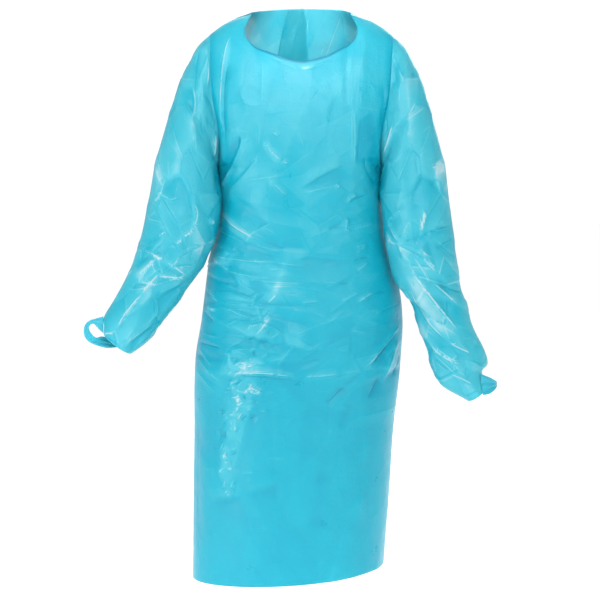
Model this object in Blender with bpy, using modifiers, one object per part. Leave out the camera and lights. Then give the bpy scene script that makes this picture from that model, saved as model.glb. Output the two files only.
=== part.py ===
"""Sleeved apron of blown film, as worn and filled out, with nobody in it.

Metres, +Z up. The wearer would face -Y, so their right is -X. The origin lies
between the two sides of the neck, level with them, where the apron is held up.
Every piece is an open surface worked out from the tables below, and a Solidify
modifier gives it its wall.
"""

from collections import namedtuple

import bpy
import numpy as np

# ---- driving sizes ------------------------------------------------------------

WALL = 0.0015  # thickness of every piece
SEAM = 0.0010  # gap that is left along a seam
LAY = WALL + 0.0010  # from one sheet's middle to that of a sheet lying on it

HEM_HEIGHT = -1.170  # of the hem, at the middle
HEM_TILT = 0.082  # rise of the hem for each metre towards the wearer's left
HEM_SKEW = 0.10  # share by which the hem's front reaches further on the left
TILT_STARTS = -0.70  # above this height rows are level and even
UNDERARM = -0.300  # height where the side seams end and the armholes start

# The neckline from the right shoulder seam to the left one, by the front and the
# back. It is widest a little below the seams' ends, towards the front.
NECK_FRONT = (
    (-0.1166, 0.0100, 0.0170),
    (-0.1166, -0.0090, 0.0050),
    (-0.1168, -0.0270, -0.0110),
    (-0.1160, -0.0420, -0.0280),
    (-0.0975, -0.0590, -0.0520),
    (-0.0669, -0.0750, -0.0640),
    (-0.0378, -0.0830, -0.0755),
    (0.0000, -0.0860, -0.0837),
    (0.0300, -0.0845, -0.0790),
    (0.0562, -0.0790, -0.0710),
    (0.0800, -0.0710, -0.0585),
    (0.1036, -0.0560, -0.0455),
    (0.1165, -0.0420, -0.0280),
    (0.1170, -0.0270, -0.0110),
    (0.1170, -0.0090, 0.0060),
    (0.1170, 0.0100, 0.0190),
)
NECK_BACK = (
    (-0.1166, 0.0100, 0.0170),
    (-0.1023, 0.0340, 0.0205),
    (-0.0717, 0.0500, 0.0230),
    (-0.0400, 0.0640, 0.0265),
    (0.0000, 0.0700, 0.0285),
    (0.0400, 0.0650, 0.0280),
    (0.0737, 0.0510, 0.0262),
    (0.1030, 0.0350, 0.0238),
    (0.1170, 0.0100, 0.0190),
)
NECK_SHARE = 0.50  # share of a panel's top edge that is neckline
SHOULDER_CROWN = 0.004  # rise of the shoulder seams above a plain fall
ARMHOLE_GAP = 0.0013  # from the body's panels to the sleeves
ARMHOLE_IN = 0.012  # inward bend of the armholes, low at the front and back
UNDERARM_CLEARANCE = 0.0022  # of the sleeves from the body, under the arms
ARMHOLE_DEPTH = 0.064  # from the armhole's middle to its front and back edges

# Pulls of the curves that run up the chest and the back, from the section at the
# underarms to the neckline and the shoulder seams. The first pair is where they set
# off and the next is where they come in; SIDES is what the sides have more.
RISE, RISE_SIDES = 0.24, 0.06
SWELL, SWELL_SIDES = 0.015, 0.030
RISE_IN = 0.20  # at the neckline's middle, none at the shoulders
LEAN_FRONT, LEAN_BACK, LEAN_SIDES = 0.05, 0.09, 0.16  # towards the shoulder seam
SHOULDER_FULL = 0.08  # more of the lean beside the neck, so that no hollow is left
CORNER_REACH = 0.20  # either side of the neckline's corner, over which it is rounded
NECK_IN = 0.0155  # inward run of the neckline's sides, above its widest level
NECK_HALF, NECK_FADE = 0.1168, 0.034  # half its width, and how far the run reaches
NECK_WIDEST, NECK_TOP = -0.018, 0.021
SHOULDER_WIDTH = 0.17  # share of the panel over which that fullness fades

# Sections of the body at their heights: reach to the wearer's right and left of
# the origin, and depth ahead of it and behind it.
Section = namedtuple("Section", "height right left front back")
BODY = (
    Section(-0.300, 0.1760, 0.1710, 0.114, 0.108),
    Section(-0.340, 0.1730, 0.1690, 0.113, 0.104),
    Section(-0.375, 0.1720, 0.1720, 0.112, 0.101),
    Section(-0.430, 0.1785, 0.1765, 0.113, 0.100),
    Section(-0.490, 0.1930, 0.1890, 0.116, 0.103),
    Section(-0.560, 0.2030, 0.2090, 0.121, 0.110),
    Section(-0.630, 0.2120, 0.2165, 0.127, 0.120),
    Section(-0.700, 0.2240, 0.2135, 0.132, 0.127),
    Section(-0.765, 0.2280, 0.2090, 0.134, 0.130),
    Section(-0.850, 0.2290, 0.2000, 0.135, 0.131),
    Section(-1.000, 0.2320, 0.1910, 0.138, 0.134),
    Section(-1.170, 0.2345, 0.1795, 0.138, 0.136),
)

# Shoulder points, where the armholes have their tops.
SHOULDER_RIGHT = (-0.190, 0.0, -0.028)
SHOULDER_LEFT = (0.192, 0.0, -0.028)

# Rings of a sleeve below its armhole, down to the cuff: its outer and its inner
# edge (x away from the body, and height), how far its middle lies towards the
# back, and half its depth.
Ring = namedtuple("Ring", "outer_x outer_z inner_x inner_z middle_y depth")
RINGS_RIGHT = (
    Ring(0.2140, -0.0520, 0.1795, -0.3120, -0.006, 0.072),
    Ring(0.2400, -0.1000, 0.1775, -0.3250, -0.014, 0.073),
    Ring(0.2620, -0.1510, 0.1740, -0.3380, -0.024, 0.073),
    Ring(0.2930, -0.2580, 0.1700, -0.3620, -0.036, 0.071),
    Ring(0.3178, -0.3680, 0.1680, -0.3920, -0.046, 0.069),
    Ring(0.3359, -0.4540, 0.1810, -0.4580, -0.054, 0.064),
    Ring(0.3600, -0.5200, 0.2200, -0.5300, -0.062, 0.054),
    Ring(0.3870, -0.5720, 0.2560, -0.5790, -0.074, 0.046),
    Ring(0.4095, -0.6100, 0.2970, -0.6300, -0.084, 0.040),
    Ring(0.4095, -0.6290, 0.3190, -0.6620, -0.090, 0.038),
    Ring(0.4090, -0.6460, 0.3530, -0.6870, -0.094, 0.037),
)
RINGS_LEFT = (
    Ring(0.2160, -0.0520, 0.1755, -0.3120, -0.006, 0.072),
    Ring(0.2410, -0.0980, 0.1735, -0.3250, -0.014, 0.073),
    Ring(0.2620, -0.1520, 0.1705, -0.3380, -0.024, 0.073),
    Ring(0.2910, -0.2640, 0.1685, -0.3650, -0.038, 0.071),
    Ring(0.3090, -0.3740, 0.1705, -0.3980, -0.048, 0.069),
    Ring(0.3236, -0.4650, 0.1780, -0.4680, -0.056, 0.064),
    Ring(0.3285, -0.5280, 0.1940, -0.5300, -0.064, 0.056),
    Ring(0.3430, -0.5780, 0.2250, -0.5760, -0.071, 0.049),
    Ring(0.3586, -0.6300, 0.2420, -0.6200, -0.078, 0.044),
    Ring(0.3880, -0.7020, 0.2710, -0.7080, -0.091, 0.038),
    Ring(0.3770, -0.7240, 0.2860, -0.7450, -0.095, 0.036),
    Ring(0.3830, -0.7600, 0.3460, -0.7856, -0.098, 0.037),
)

# How far each back panel reaches past centre back, as a share of half the back.
Lap = namedtuple("Lap", "height inner outer")
LAPS = (
    Lap(0.030, 0.10, 0.02),
    Lap(-0.060, 0.17, 0.05),
    Lap(-0.300, 0.25, 0.12),
    Lap(-0.520, 0.32, 0.20),
    Lap(-1.170, 0.28, 0.22),
)

# The largest folds, as straight or bowed lines seen from the front or the back:
# both ends, how far the line bows sideways, its width, and its height outwards.
Fold = namedtuple("Fold", "x0 z0 x1 z1 bow width height")
FRONT_FOLDS = (
    Fold(-0.165, -0.400, -0.060, -0.480, 0.010, 0.016, 0.008),
    Fold(-0.180, -0.455, -0.050, -0.525, 0.008, 0.015, 0.007),
    Fold(-0.190, -0.530, -0.060, -0.560, 0.004, 0.015, 0.006),
    Fold(-0.200, -0.600, -0.070, -0.640, 0.004, 0.016, 0.008),
    Fold(-0.205, -0.665, -0.040, -0.690, 0.010, 0.018, 0.007),
    Fold(-0.140, -0.742, 0.110, -0.745, 0.008, 0.018, 0.008),
    Fold(0.200, -0.640, 0.100, -0.760, -0.020, 0.018, 0.008),
    Fold(0.206, -0.690, 0.160, -0.800, -0.010, 0.016, -0.006),
    Fold(0.180, -0.560, 0.080, -0.590, 0.000, 0.015, 0.005),
    Fold(-0.155, -0.160, -0.115, -0.320, 0.015, 0.018, -0.008),
    Fold(-0.125, -0.215, -0.150, -0.335, -0.010, 0.014, 0.006),
    Fold(0.145, -0.180, 0.150, -0.330, 0.010, 0.018, -0.008),
)
BACK_FOLDS = (
    Fold(-0.180, -0.430, -0.040, -0.505, 0.010, 0.016, 0.006),
    Fold(0.175, -0.420, 0.050, -0.500, -0.010, 0.016, 0.006),
    Fold(-0.190, -0.580, -0.060, -0.560, 0.004, 0.016, 0.006),
    Fold(0.195, -0.600, 0.060, -0.565, -0.004, 0.016, 0.006),
    Fold(-0.170, -0.700, -0.060, -0.610, 0.010, 0.020, 0.007),
    Fold(0.165, -0.720, 0.070, -0.620, -0.010, 0.020, 0.007),
)

SLEEVE_FOLDS_RIGHT = (
    Fold(-0.340, -0.475, -0.240, -0.540, 0.000, 0.014, 0.007),
    Fold(-0.355, -0.500, -0.320, -0.520, 0.000, 0.014, -0.006),
    Fold(-0.300, -0.530, -0.395, -0.655, 0.005, 0.014, 0.007),
    Fold(-0.300, -0.372, -0.230, -0.390, 0.006, 0.012, 0.005),
    Fold(-0.310, -0.410, -0.210, -0.450, -0.008, 0.014, 0.005),
)
SLEEVE_FOLDS_LEFT = (
    Fold(0.200, -0.440, 0.320, -0.430, 0.010, 0.014, -0.006),
    Fold(0.258, -0.370, 0.262, -0.440, 0.000, 0.014, 0.006),
    Fold(0.235, -0.530, 0.335, -0.655, 0.004, 0.013, 0.007),
    Fold(0.275, -0.540, 0.345, -0.600, 0.000, 0.012, 0.006),
    Fold(0.270, -0.660, 0.360, -0.740, 0.000, 0.014, 0.005),
)

# Thumb loops: places on the two edges of each strip of film, from cuff to cuff.
LOOP_RIGHT = (
    (-0.4100, -0.0950, -0.6088, -0.4107, -0.0950, -0.6440),
    (-0.4205, -0.0950, -0.6117, -0.4178, -0.0950, -0.6377),
    (-0.4300, -0.0950, -0.6144, -0.4241, -0.0950, -0.6308),
    (-0.4374, -0.0955, -0.6167, -0.4290, -0.0955, -0.6245),
    (-0.4437, -0.0960, -0.6209, -0.4357, -0.0960, -0.6252),
    (-0.4485, -0.0965, -0.6272, -0.4401, -0.0965, -0.6306),
    (-0.4508, -0.0970, -0.6377, -0.4393, -0.0970, -0.6369),
    (-0.4498, -0.0970, -0.6495, -0.4353, -0.0970, -0.6440),
    (-0.4439, -0.0965, -0.6587, -0.4306, -0.0965, -0.6495),
    (-0.4346, -0.0955, -0.6656, -0.4250, -0.0955, -0.6532),
    (-0.4205, -0.0925, -0.6715, -0.4170, -0.0925, -0.6515),
    (-0.4041, -0.0860, -0.6761, -0.4096, -0.0860, -0.6530),
    (-0.3877, -0.0760, -0.6765, -0.3953, -0.0760, -0.6618),
    (-0.3711, -0.0615, -0.6765, -0.3763, -0.0615, -0.6695),
)
LOOP_LEFT = (
    (0.3712, -0.1160, -0.7255, 0.3752, -0.1322, -0.7690),
    (0.3850, -0.1180, -0.7320, 0.3880, -0.1280, -0.7665),
    (0.3970, -0.1125, -0.7395, 0.3990, -0.1175, -0.7620),
    (0.4060, -0.1030, -0.7445, 0.4065, -0.1045, -0.7570),
    (0.4085, -0.0930, -0.7465, 0.4085, -0.0930, -0.7555),
    (0.4050, -0.0830, -0.7450, 0.4050, -0.0820, -0.7570),
    (0.3950, -0.0785, -0.7400, 0.3950, -0.0770, -0.7620),
    (0.3835, -0.0800, -0.7350, 0.3865, -0.0790, -0.7630),
    (0.3758, -0.0812, -0.7310, 0.3813, -0.0805, -0.7600),
)

# Waist ties: places along each one, as metres round the back from its centre and
# a height, from the side seam to the knot and down to the tie's end.
TIE_HALF_WIDTH = 0.011
TIE_HEIGHT = -0.513
TIE_FLAT = (0.014, 0.035)  # from the ties, where their pull keeps folds away
LAP_FLAT = (0.33, 0.55)  # across the back, where the lapped panels lie flat
TIE_LIFT = LAY + 0.0004  # above the panel that the ties start on
TIE_STEP_UP = LAY  # and on from there onto the panel that lies over it
BACK_HALF_ROUND = 0.268  # from centre back to a side seam
TIE_RIGHT = (
    (-0.262, -0.505),
    (-0.180, -0.512),
    (-0.100, -0.518),
    (-0.040, -0.521),
    (-0.017, -0.537),
    (-0.014, -0.570),
    (-0.022, -0.640),
    (-0.030, -0.740),
)
TIE_LEFT = (
    (0.262, -0.505),
    (0.180, -0.512),
    (0.100, -0.518),
    (0.042, -0.521),
    (0.019, -0.537),
    (0.016, -0.570),
    (0.026, -0.650),
    (0.040, -0.770),
)
KNOT_SIZE = (0.046, 0.012, 0.034)
KNOT_HEIGHT = -0.523
KNOT_CLEAR = 0.0012  # from the ties, which slope under it

# How finely the pieces are divided. Rows lie closest where the waist gathers.
LOWER_ROWS = np.concatenate(
    [np.linspace(HEM_HEIGHT, -0.82, 6), np.linspace(-0.79, -0.33, 18)]
)
UPPER_ROWS = np.linspace(0.0, 1.0, 9)
FRONT_COLUMNS = 21
BACK_COLUMNS = 12
SLEEVE_ROWS_PER_RING = 2
SLEEVE_COLUMNS = 16
LOOP_STEPS = 19
TIE_STEPS = 22

FILM_BLUE = (0.075, 0.525, 0.701, 1.0)
FILM_ROUGHNESS = 0.28


# ---- arithmetic ---------------------------------------------------------------


def column(rows, name):
    """One named column of a table."""
    return np.array([getattr(row, name) for row in rows])


def through(knots, values, at):
    """A smooth curve through values at rising knots, read at the places given."""
    values = np.asarray(values, float)
    slopes = np.gradient(values, knots, axis=0)
    low = np.clip(np.searchsorted(knots, at) - 1, 0, len(knots) - 2)
    span = knots[low + 1] - knots[low]
    t = np.clip((at - knots[low]) / span, 0.0, 1.0)
    if values.ndim > np.ndim(knots):
        extra = (Ellipsis,) + (None,) * (values.ndim - 1)
        span, t = span[extra], t[extra]
    return (
        values[low] * (1 + 2 * t) * (1 - t) ** 2
        + slopes[low] * span * t * (1 - t) ** 2
        + values[low + 1] * t**2 * (3 - 2 * t)
        - slopes[low + 1] * span * t**2 * (1 - t)
    )


def read(rows, name, heights):
    """A column of a table that is ordered downwards, at the heights given."""
    knots = column(rows, "height")[::-1]
    return through(knots, column(rows, name)[::-1], heights)


def part_way(points, share):
    """Places at shares of the length of a smooth curve through a few points."""
    points = np.array(points)
    steps = np.linalg.norm(np.diff(points[:, :3], axis=0), axis=1)
    knots = np.concatenate([[0.0], np.cumsum(steps)])
    return through(knots, points, share * knots[-1])


def evenly(points, count):
    """count points, evenly spaced along a smooth curve through a few points."""
    return part_way(points, np.linspace(0.0, 1.0, count))


def ease(value, start, end):
    """0 before start, 1 after end, and a smooth step between them."""
    t = np.clip((value - start) / (end - start), 0.0, 1.0)
    return t * t * (3 - 2 * t)


def blend_curve(low, leave, high, arrive, t):
    """A cubic from low to high that sets off along leave and comes in along arrive."""
    return (
        low * (1 + 2 * t) * (1 - t) ** 2
        + leave * t * (1 - t) ** 2
        + high * t**2 * (3 - 2 * t)
        - arrive * t**2 * (1 - t)
    )


def normals(grid):
    """Unit normals of a grid of points, rows by columns."""
    along = np.gradient(grid, axis=0)
    across = np.gradient(grid, axis=1)
    found = np.cross(across, along)
    return found / np.linalg.norm(found, axis=2, keepdims=True)


def fold_height(folds, x, z):
    """Sum of soft ridges: each falls off as a bell across its line, and to its ends."""
    total = np.zeros_like(x)
    for fold in folds:
        run = np.array([fold.x1 - fold.x0, fold.z1 - fold.z0])
        length = np.hypot(*run)
        run = run / length
        along = ((x - fold.x0) * run[0] + (z - fold.z0) * run[1]) / length
        aside = (z - fold.z0) * run[0] - (x - fold.x0) * run[1]
        held = np.clip(along, 0.0, 1.0)
        aside = aside - fold.bow * 4 * held * (1 - held)
        ends = ease(along, -0.1, 0.25) * (1 - ease(along, 0.75, 1.1))
        total += fold.height * ends * np.exp(-((aside / fold.width) ** 2))
    return total


# ---- surfaces -----------------------------------------------------------------


def body_point(turn, height):
    """Body below the underarms: half ellipses ahead and behind, from BODY.

    turn is 0 at centre front and rises towards the wearer's left."""
    right = read(BODY, "right", height)
    left = read(BODY, "left", height)
    front = read(BODY, "front", height)
    back = read(BODY, "back", height)
    low = ease(-height, -TILT_STARTS, -HEM_HEIGHT)
    x = (left - right) / 2 + (left + right) / 2 * np.sin(turn)
    y = -np.where(np.cos(turn) > 0, front, back) * np.cos(turn)
    y = y * (1 + HEM_SKEW * low * np.sin(turn))
    return np.stack([x, y, height + HEM_TILT * low * x], axis=-1)


def turn_of(across, facing):
    """Turn of a place across the front (facing -1) or the back (facing 1), where
    across runs from -1 at the wearer's right side seam to 1 at their left one."""
    return across * np.pi / 2 if facing < 0 else np.pi - across * np.pi / 2


def top_edge(across, facing):
    """Neckline, a smooth curve through its places, and the shoulder seams beyond it."""
    share = (np.clip(across / NECK_SHARE, -1, 1) + 1) / 2
    neck = part_way(NECK_FRONT if facing < 0 else NECK_BACK, share)
    shoulder = np.where(across[..., None] < 0, SHOULDER_RIGHT, SHOULDER_LEFT)
    beyond = np.clip((np.abs(across) - NECK_SHARE) / (1 - NECK_SHARE), 0, 1)
    points = neck + beyond[..., None] * (shoulder - neck)
    points[..., 2] += SHOULDER_CROWN * np.sin(np.pi * beyond)
    return points


def armhole_edge(side, rise, facing):
    """Half an ellipse from the underarm (rise 0) to the shoulder point (rise 1)."""
    bottom = body_point(np.array(side * np.pi / 2), np.array(UNDERARM))
    top = np.array(SHOULDER_RIGHT if side < 0 else SHOULDER_LEFT)
    angle = np.pi * (1 - rise)[..., None]
    out = np.array([0.0, facing * ARMHOLE_DEPTH, 0.0])
    bend = np.array([-side * ARMHOLE_IN, 0.0, 0.0]) * ease(-np.cos(angle), -0.2, 0.7)
    middle = (bottom + top) / 2 + (top - bottom) / 2 * np.cos(angle)
    return middle + (out + bend) * np.sin(angle)


def rounded_edge(across, facing):
    """The top edge, each point a weighted mean over its neighbours, which rounds the
    corner between the neckline and the shoulder seam."""
    steps = np.linspace(-1.0, 1.0, 9)
    weights = np.cos(steps * np.pi / 2.2)
    edges = [top_edge(across + CORNER_REACH * step, facing) for step in steps]
    return np.tensordot(weights / weights.sum(), edges, axes=1)


def upright(across, rise, facing):
    """Curves from the section at the underarms over the chest to the rounded top edge,
    drawn onto the true one only close to it, by the sixth power of the rise."""
    turn = turn_of(across, facing)
    low = body_point(turn, np.full_like(turn, UNDERARM))
    side = ease(np.abs(across), 0.05, 0.75)
    none = np.zeros_like(across)
    swell = facing * (SWELL + SWELL_SIDES * side)
    leave = np.stack([none, swell, RISE + RISE_SIDES * side], -1)
    lean = LEAN_FRONT if facing < 0 else LEAN_BACK
    full = np.exp(-(((np.abs(across) - NECK_SHARE) / SHOULDER_WIDTH) ** 2))
    lean = lean + (LEAN_SIDES - lean) * side + SHOULDER_FULL * full
    arrive = np.stack([none, -facing * lean, RISE_IN * (1 - side)], -1)
    high, rise = rounded_edge(across, facing), rise[..., None]
    drawn = (top_edge(across, facing) - high) * rise**6
    return blend_curve(low, leave, high, arrive, rise) + drawn


def drawn_in(points):
    """Points above the neckline's widest level, moved towards the neck beside it."""
    aside = np.abs(points[..., 0])
    share = np.exp(-(((aside - NECK_HALF) / NECK_FADE) ** 2))
    share = share * ease(points[..., 2], NECK_WIDEST, NECK_TOP)
    points[..., 0] *= 1 - NECK_IN * share / np.maximum(aside, NECK_FADE)
    return points


def yoke_point(across, rise, facing):
    """Body above the underarms: the upright curves, drawn sideways onto the edges of
    the armholes."""
    points = upright(across, rise, facing)
    for side in (-1, 1):
        edge = armhole_edge(side, rise, facing)
        pull = ease(side * across, 0.1, 1.0)[..., None]
        points += pull * (edge - upright(np.full_like(across, side), rise, facing))
    return drawn_in(points)


def spread(start, end, columns):
    """Places across a panel, evenly from start to end in each of its rows."""
    share = np.linspace(0.0, 1.0, columns)
    return start[:, None] * (1 - share) + end[:, None] * share


def panel_grid(across, facing):
    """Points of a body panel at its places across the body, in rows from the hem to
    the underarms and on to the top edge."""
    lower, upper = np.split(across, [len(LOWER_ROWS)])
    heights = LOWER_ROWS[:, None] + 0 * lower
    rises = UPPER_ROWS[:, None] + 0 * upper
    body = body_point(turn_of(lower, facing), heights)
    return np.concatenate([body, yoke_point(upper, rises, facing)])


def raised(across, folds, facing, by=0.0):
    """A panel's points moved out by its folds, which die away at its side seams."""
    grid = panel_grid(across, facing)
    out = normals(grid) * -facing
    height = fold_height(folds, grid[..., 0], grid[..., 2])
    height = height * (1 - ease(np.abs(across), 0.78, 0.99))
    if facing > 0:
        height = height * ease(np.abs(across), *LAP_FLAT)
        height = height * ease(np.abs(grid[..., 2] - TIE_HEIGHT), *TIE_FLAT)
    height = height + by
    grid = grid + out * height[..., None]
    grid[..., 1] += facing * SEAM / 2
    return grid


def sleeve_grid(rings, side):
    """Points of a sleeve: a tube from the armhole's edge through its rings. side is
    -1 on the wearer's right. A row starts at the outer edge and goes by the front."""
    angle = np.linspace(0.0, 2 * np.pi, SLEEVE_COLUMNS, endpoint=False)
    rise = 1 - np.minimum(angle, 2 * np.pi - angle) / np.pi
    front = armhole_edge(side, rise, -1)
    back = armhole_edge(side, rise, 1)
    armhole = np.where((angle < np.pi)[:, None], front, back)
    clear = ARMHOLE_GAP + UNDERARM_CLEARANCE * ease(-np.cos(angle), 0.5, 1.0)
    armhole[:, 0] += side * clear
    outer = np.stack([side * column(rings, "outer_x"), column(rings, "outer_z")], -1)
    inner = np.stack([side * column(rings, "inner_x"), column(rings, "inner_z")], -1)
    flat = (outer + inner)[:, None] / 2
    flat = flat + (outer - inner)[:, None] / 2 * np.cos(angle)[:, None]
    deep = column(rings, "depth")[:, None] * np.sin(angle)
    y = column(rings, "middle_y")[:, None] - deep
    tube = np.stack([flat[..., 0], y, flat[..., 1]], axis=-1)
    points = np.concatenate([armhole[None], tube])
    knots = np.arange(len(points), dtype=float)
    rows = SLEEVE_ROWS_PER_RING * len(rings) + 1
    return through(knots, points, np.linspace(0.0, knots[-1], rows))


def creased(grid, folds):
    """A sleeve's points moved out by its folds, the same at the front and the back."""
    middle = grid.mean(axis=1, keepdims=True)
    wrapped = np.concatenate([grid[:, -1:], grid, grid[:, :1]], axis=1)
    out = normals(wrapped)[:, 1:-1]
    inward = ((grid - middle) * out).sum(axis=2, keepdims=True) < 0
    out = np.where(inward, -out, out)
    height = fold_height(folds, grid[..., 0], grid[..., 2])
    down = np.arange(len(grid))[:, None]
    height = height * ease(down, 0, 2) * (1 - ease(down, len(grid) - 2, len(grid) - 1))
    return grid + out * height[..., None]


def strip_grid(path, aside):
    """Three points across a strip at each point of its path, aside being the vectors
    from its middle to one edge."""
    return np.stack([path - aside, path, path + aside], axis=1)


def loop_grid(places):
    """A thumb loop: a strip between its two edges."""
    first, last = np.split(evenly(places, LOOP_STEPS), 2, axis=1)
    return strip_grid((first + last) / 2, (last - first) / 2)


def tie_grid(places):
    """A tie lying on the back: places on its panels, moved out clear of them."""
    path = evenly(places, TIE_STEPS)
    run = np.gradient(path, axis=0)
    aside = np.stack([-run[:, 1], run[:, 0]], axis=-1)
    aside *= TIE_HALF_WIDTH / np.linalg.norm(aside, axis=1, keepdims=True)
    around, height = np.moveaxis(strip_grid(path, aside), 2, 0)
    across = around / BACK_HALF_ROUND
    points = body_point(turn_of(across, 1), height)
    lift = TIE_LIFT + TIE_STEP_UP * ease(-across, -0.45, -0.15)
    return points + normals(points) * lift[..., None]


# ---- Blender objects ----------------------------------------------------------


def film_material(name, colour):
    """Glossy film in one colour."""
    material = bpy.data.materials.new(name)
    material.use_nodes = True
    shader = material.node_tree.nodes["Principled BSDF"]
    shader.inputs["Base Color"].default_value = colour
    shader.inputs["Roughness"].default_value = FILM_ROUGHNESS
    shader.inputs["Metallic"].default_value = 0.0
    return material


def sheet_object(name, grid, collection, closed=False):
    """A film piece through a grid of points, as quads, with its wall from Solidify.
    closed joins the last column to the first, for a tube."""
    rows, columns = grid.shape[:2]
    index = np.arange(rows * columns).reshape(rows, columns)
    if closed:
        index = np.concatenate([index, index[:, :1]], axis=1)
    quads = np.stack([index[:-1, :-1], index[:-1, 1:], index[1:, 1:], index[1:, :-1]], -1)
    mesh = bpy.data.meshes.new(name)
    mesh.from_pydata(grid.reshape(-1, 3).tolist(), [], quads.reshape(-1, 4).tolist())
    mesh.shade_smooth()
    piece = bpy.data.objects.new(name, mesh)
    collection.objects.link(piece)
    wall = piece.modifiers.new("Wall", "SOLIDIFY")
    wall.thickness = WALL
    wall.offset = 0.0
    mesh.materials.append(film_material(name, FILM_BLUE))
    return piece


def knot_object(name, collection):
    """The knot of the ties: a cube rounded by Subdivision Surface, over both ties."""
    bpy.ops.mesh.primitive_cube_add(size=1.0)
    knot = bpy.context.object
    knot.name = name
    knot.data.name = name
    middle = body_point(np.array(np.pi), np.array(KNOT_HEIGHT))
    out = TIE_LIFT + TIE_STEP_UP + WALL / 2 + KNOT_CLEAR + KNOT_SIZE[1] / 2
    knot.location = (middle[0], middle[1] + out, middle[2])
    knot.scale = KNOT_SIZE
    round_off = knot.modifiers.new("Round", "BEVEL")
    round_off.width = 0.2
    round_off.segments = 2
    for user in list(knot.users_collection):
        user.objects.unlink(knot)
    collection.objects.link(knot)
    knot.data.shade_smooth()
    knot.data.materials.append(film_material(name, FILM_BLUE))
    return knot


def body_pieces(collection):
    """Front panel and the two back panels, with gaps along their seams."""
    top = LAPS[0].height
    heights = np.concatenate([LOWER_ROWS, UNDERARM + UPPER_ROWS * (top - UNDERARM)])
    side = np.ones_like(heights)
    front = raised(spread(-side, side, FRONT_COLUMNS), FRONT_FOLDS, -1)
    sheet_object("front", front, collection)

    inner = spread(-read(LAPS, "inner", heights), side, BACK_COLUMNS)
    sheet_object("back_left", raised(inner, BACK_FOLDS, 1), collection)

    outer = spread(-side, read(LAPS, "outer", heights), BACK_COLUMNS)
    clear = LAY * ease(outer, -0.8, -0.4)
    sheet_object("back_right", raised(outer, BACK_FOLDS, 1, by=clear), collection)


def sleeve_pieces(collection):
    """The two sleeves, each one tube of film."""
    right = creased(sleeve_grid(RINGS_RIGHT, -1), SLEEVE_FOLDS_RIGHT)
    sheet_object("sleeve_right", right, collection, closed=True)
    left = creased(sleeve_grid(RINGS_LEFT, 1), SLEEVE_FOLDS_LEFT)
    sheet_object("sleeve_left", left, collection, closed=True)


def small_pieces(collection):
    """Thumb loops at the cuffs, and the waist ties with their knot."""
    loop = loop_grid(LOOP_RIGHT)
    sheet_object("thumb_loop_right", loop, collection)
    strap = loop_grid(LOOP_LEFT)
    sheet_object("thumb_loop_left", strap, collection)
    sheet_object("tie_right", tie_grid(TIE_RIGHT), collection)
    sheet_object("tie_left", tie_grid(TIE_LEFT), collection)
    knot_object("tie_knot", collection)


def main():
    for old in list(bpy.data.objects):
        bpy.data.objects.remove(old, do_unlink=True)
    collection = bpy.data.collections.new("sleeved_apron")
    bpy.context.scene.collection.children.link(collection)
    body_pieces(collection)
    sleeve_pieces(collection)
    small_pieces(collection)


main()
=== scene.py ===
"""Sleeved apron of blown polyethylene film, worn and filled out with nobody in it.

Laid out as a Blender add-on and run as a script. Metres, +Z up, the wearer would
face -Y, so their right is -X. Every piece is a surface worked out with numpy from the
tables below, on the same form as its solid, with the film's creases laid on it.
"""

from collections import namedtuple

import bpy
import numpy as np
from bpy.props import FloatProperty, FloatVectorProperty, PointerProperty
from bpy.types import Operator, Panel, PropertyGroup
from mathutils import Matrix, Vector


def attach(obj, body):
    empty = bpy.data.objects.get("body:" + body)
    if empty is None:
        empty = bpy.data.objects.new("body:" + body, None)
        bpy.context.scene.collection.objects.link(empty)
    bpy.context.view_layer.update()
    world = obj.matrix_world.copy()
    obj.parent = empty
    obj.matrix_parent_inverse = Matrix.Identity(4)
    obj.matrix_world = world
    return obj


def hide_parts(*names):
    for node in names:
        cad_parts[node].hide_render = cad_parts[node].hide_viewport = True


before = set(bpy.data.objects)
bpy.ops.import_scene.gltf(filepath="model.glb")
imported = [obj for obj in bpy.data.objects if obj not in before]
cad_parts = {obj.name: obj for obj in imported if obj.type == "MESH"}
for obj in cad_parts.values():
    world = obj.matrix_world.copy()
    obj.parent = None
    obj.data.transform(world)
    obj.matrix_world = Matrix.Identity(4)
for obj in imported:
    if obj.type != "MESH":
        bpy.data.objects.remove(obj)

bl_info = {
    "name": "Sleeved apron",
    "version": (1, 0, 0),
    "blender": (4, 5, 0),
    "location": "View3D > Sidebar > Apron",
    "description": "A disposable film apron with sleeves, thumb loops and a tied back",
    "category": "Add Mesh",
}

# ---- sizes of the apron's form ----------------------------------------------------

HEM_HEIGHT = -1.170  # of the hem, at the middle
HEM_TILT = 0.082  # rise of the hem for each metre towards the wearer's left
HEM_SKEW = 0.10  # share by which the hem's front reaches further on the left
TILT_STARTS = -0.70  # above this height rows are level and even
UNDERARM = -0.300  # height where the side seams end and the armholes start

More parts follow.
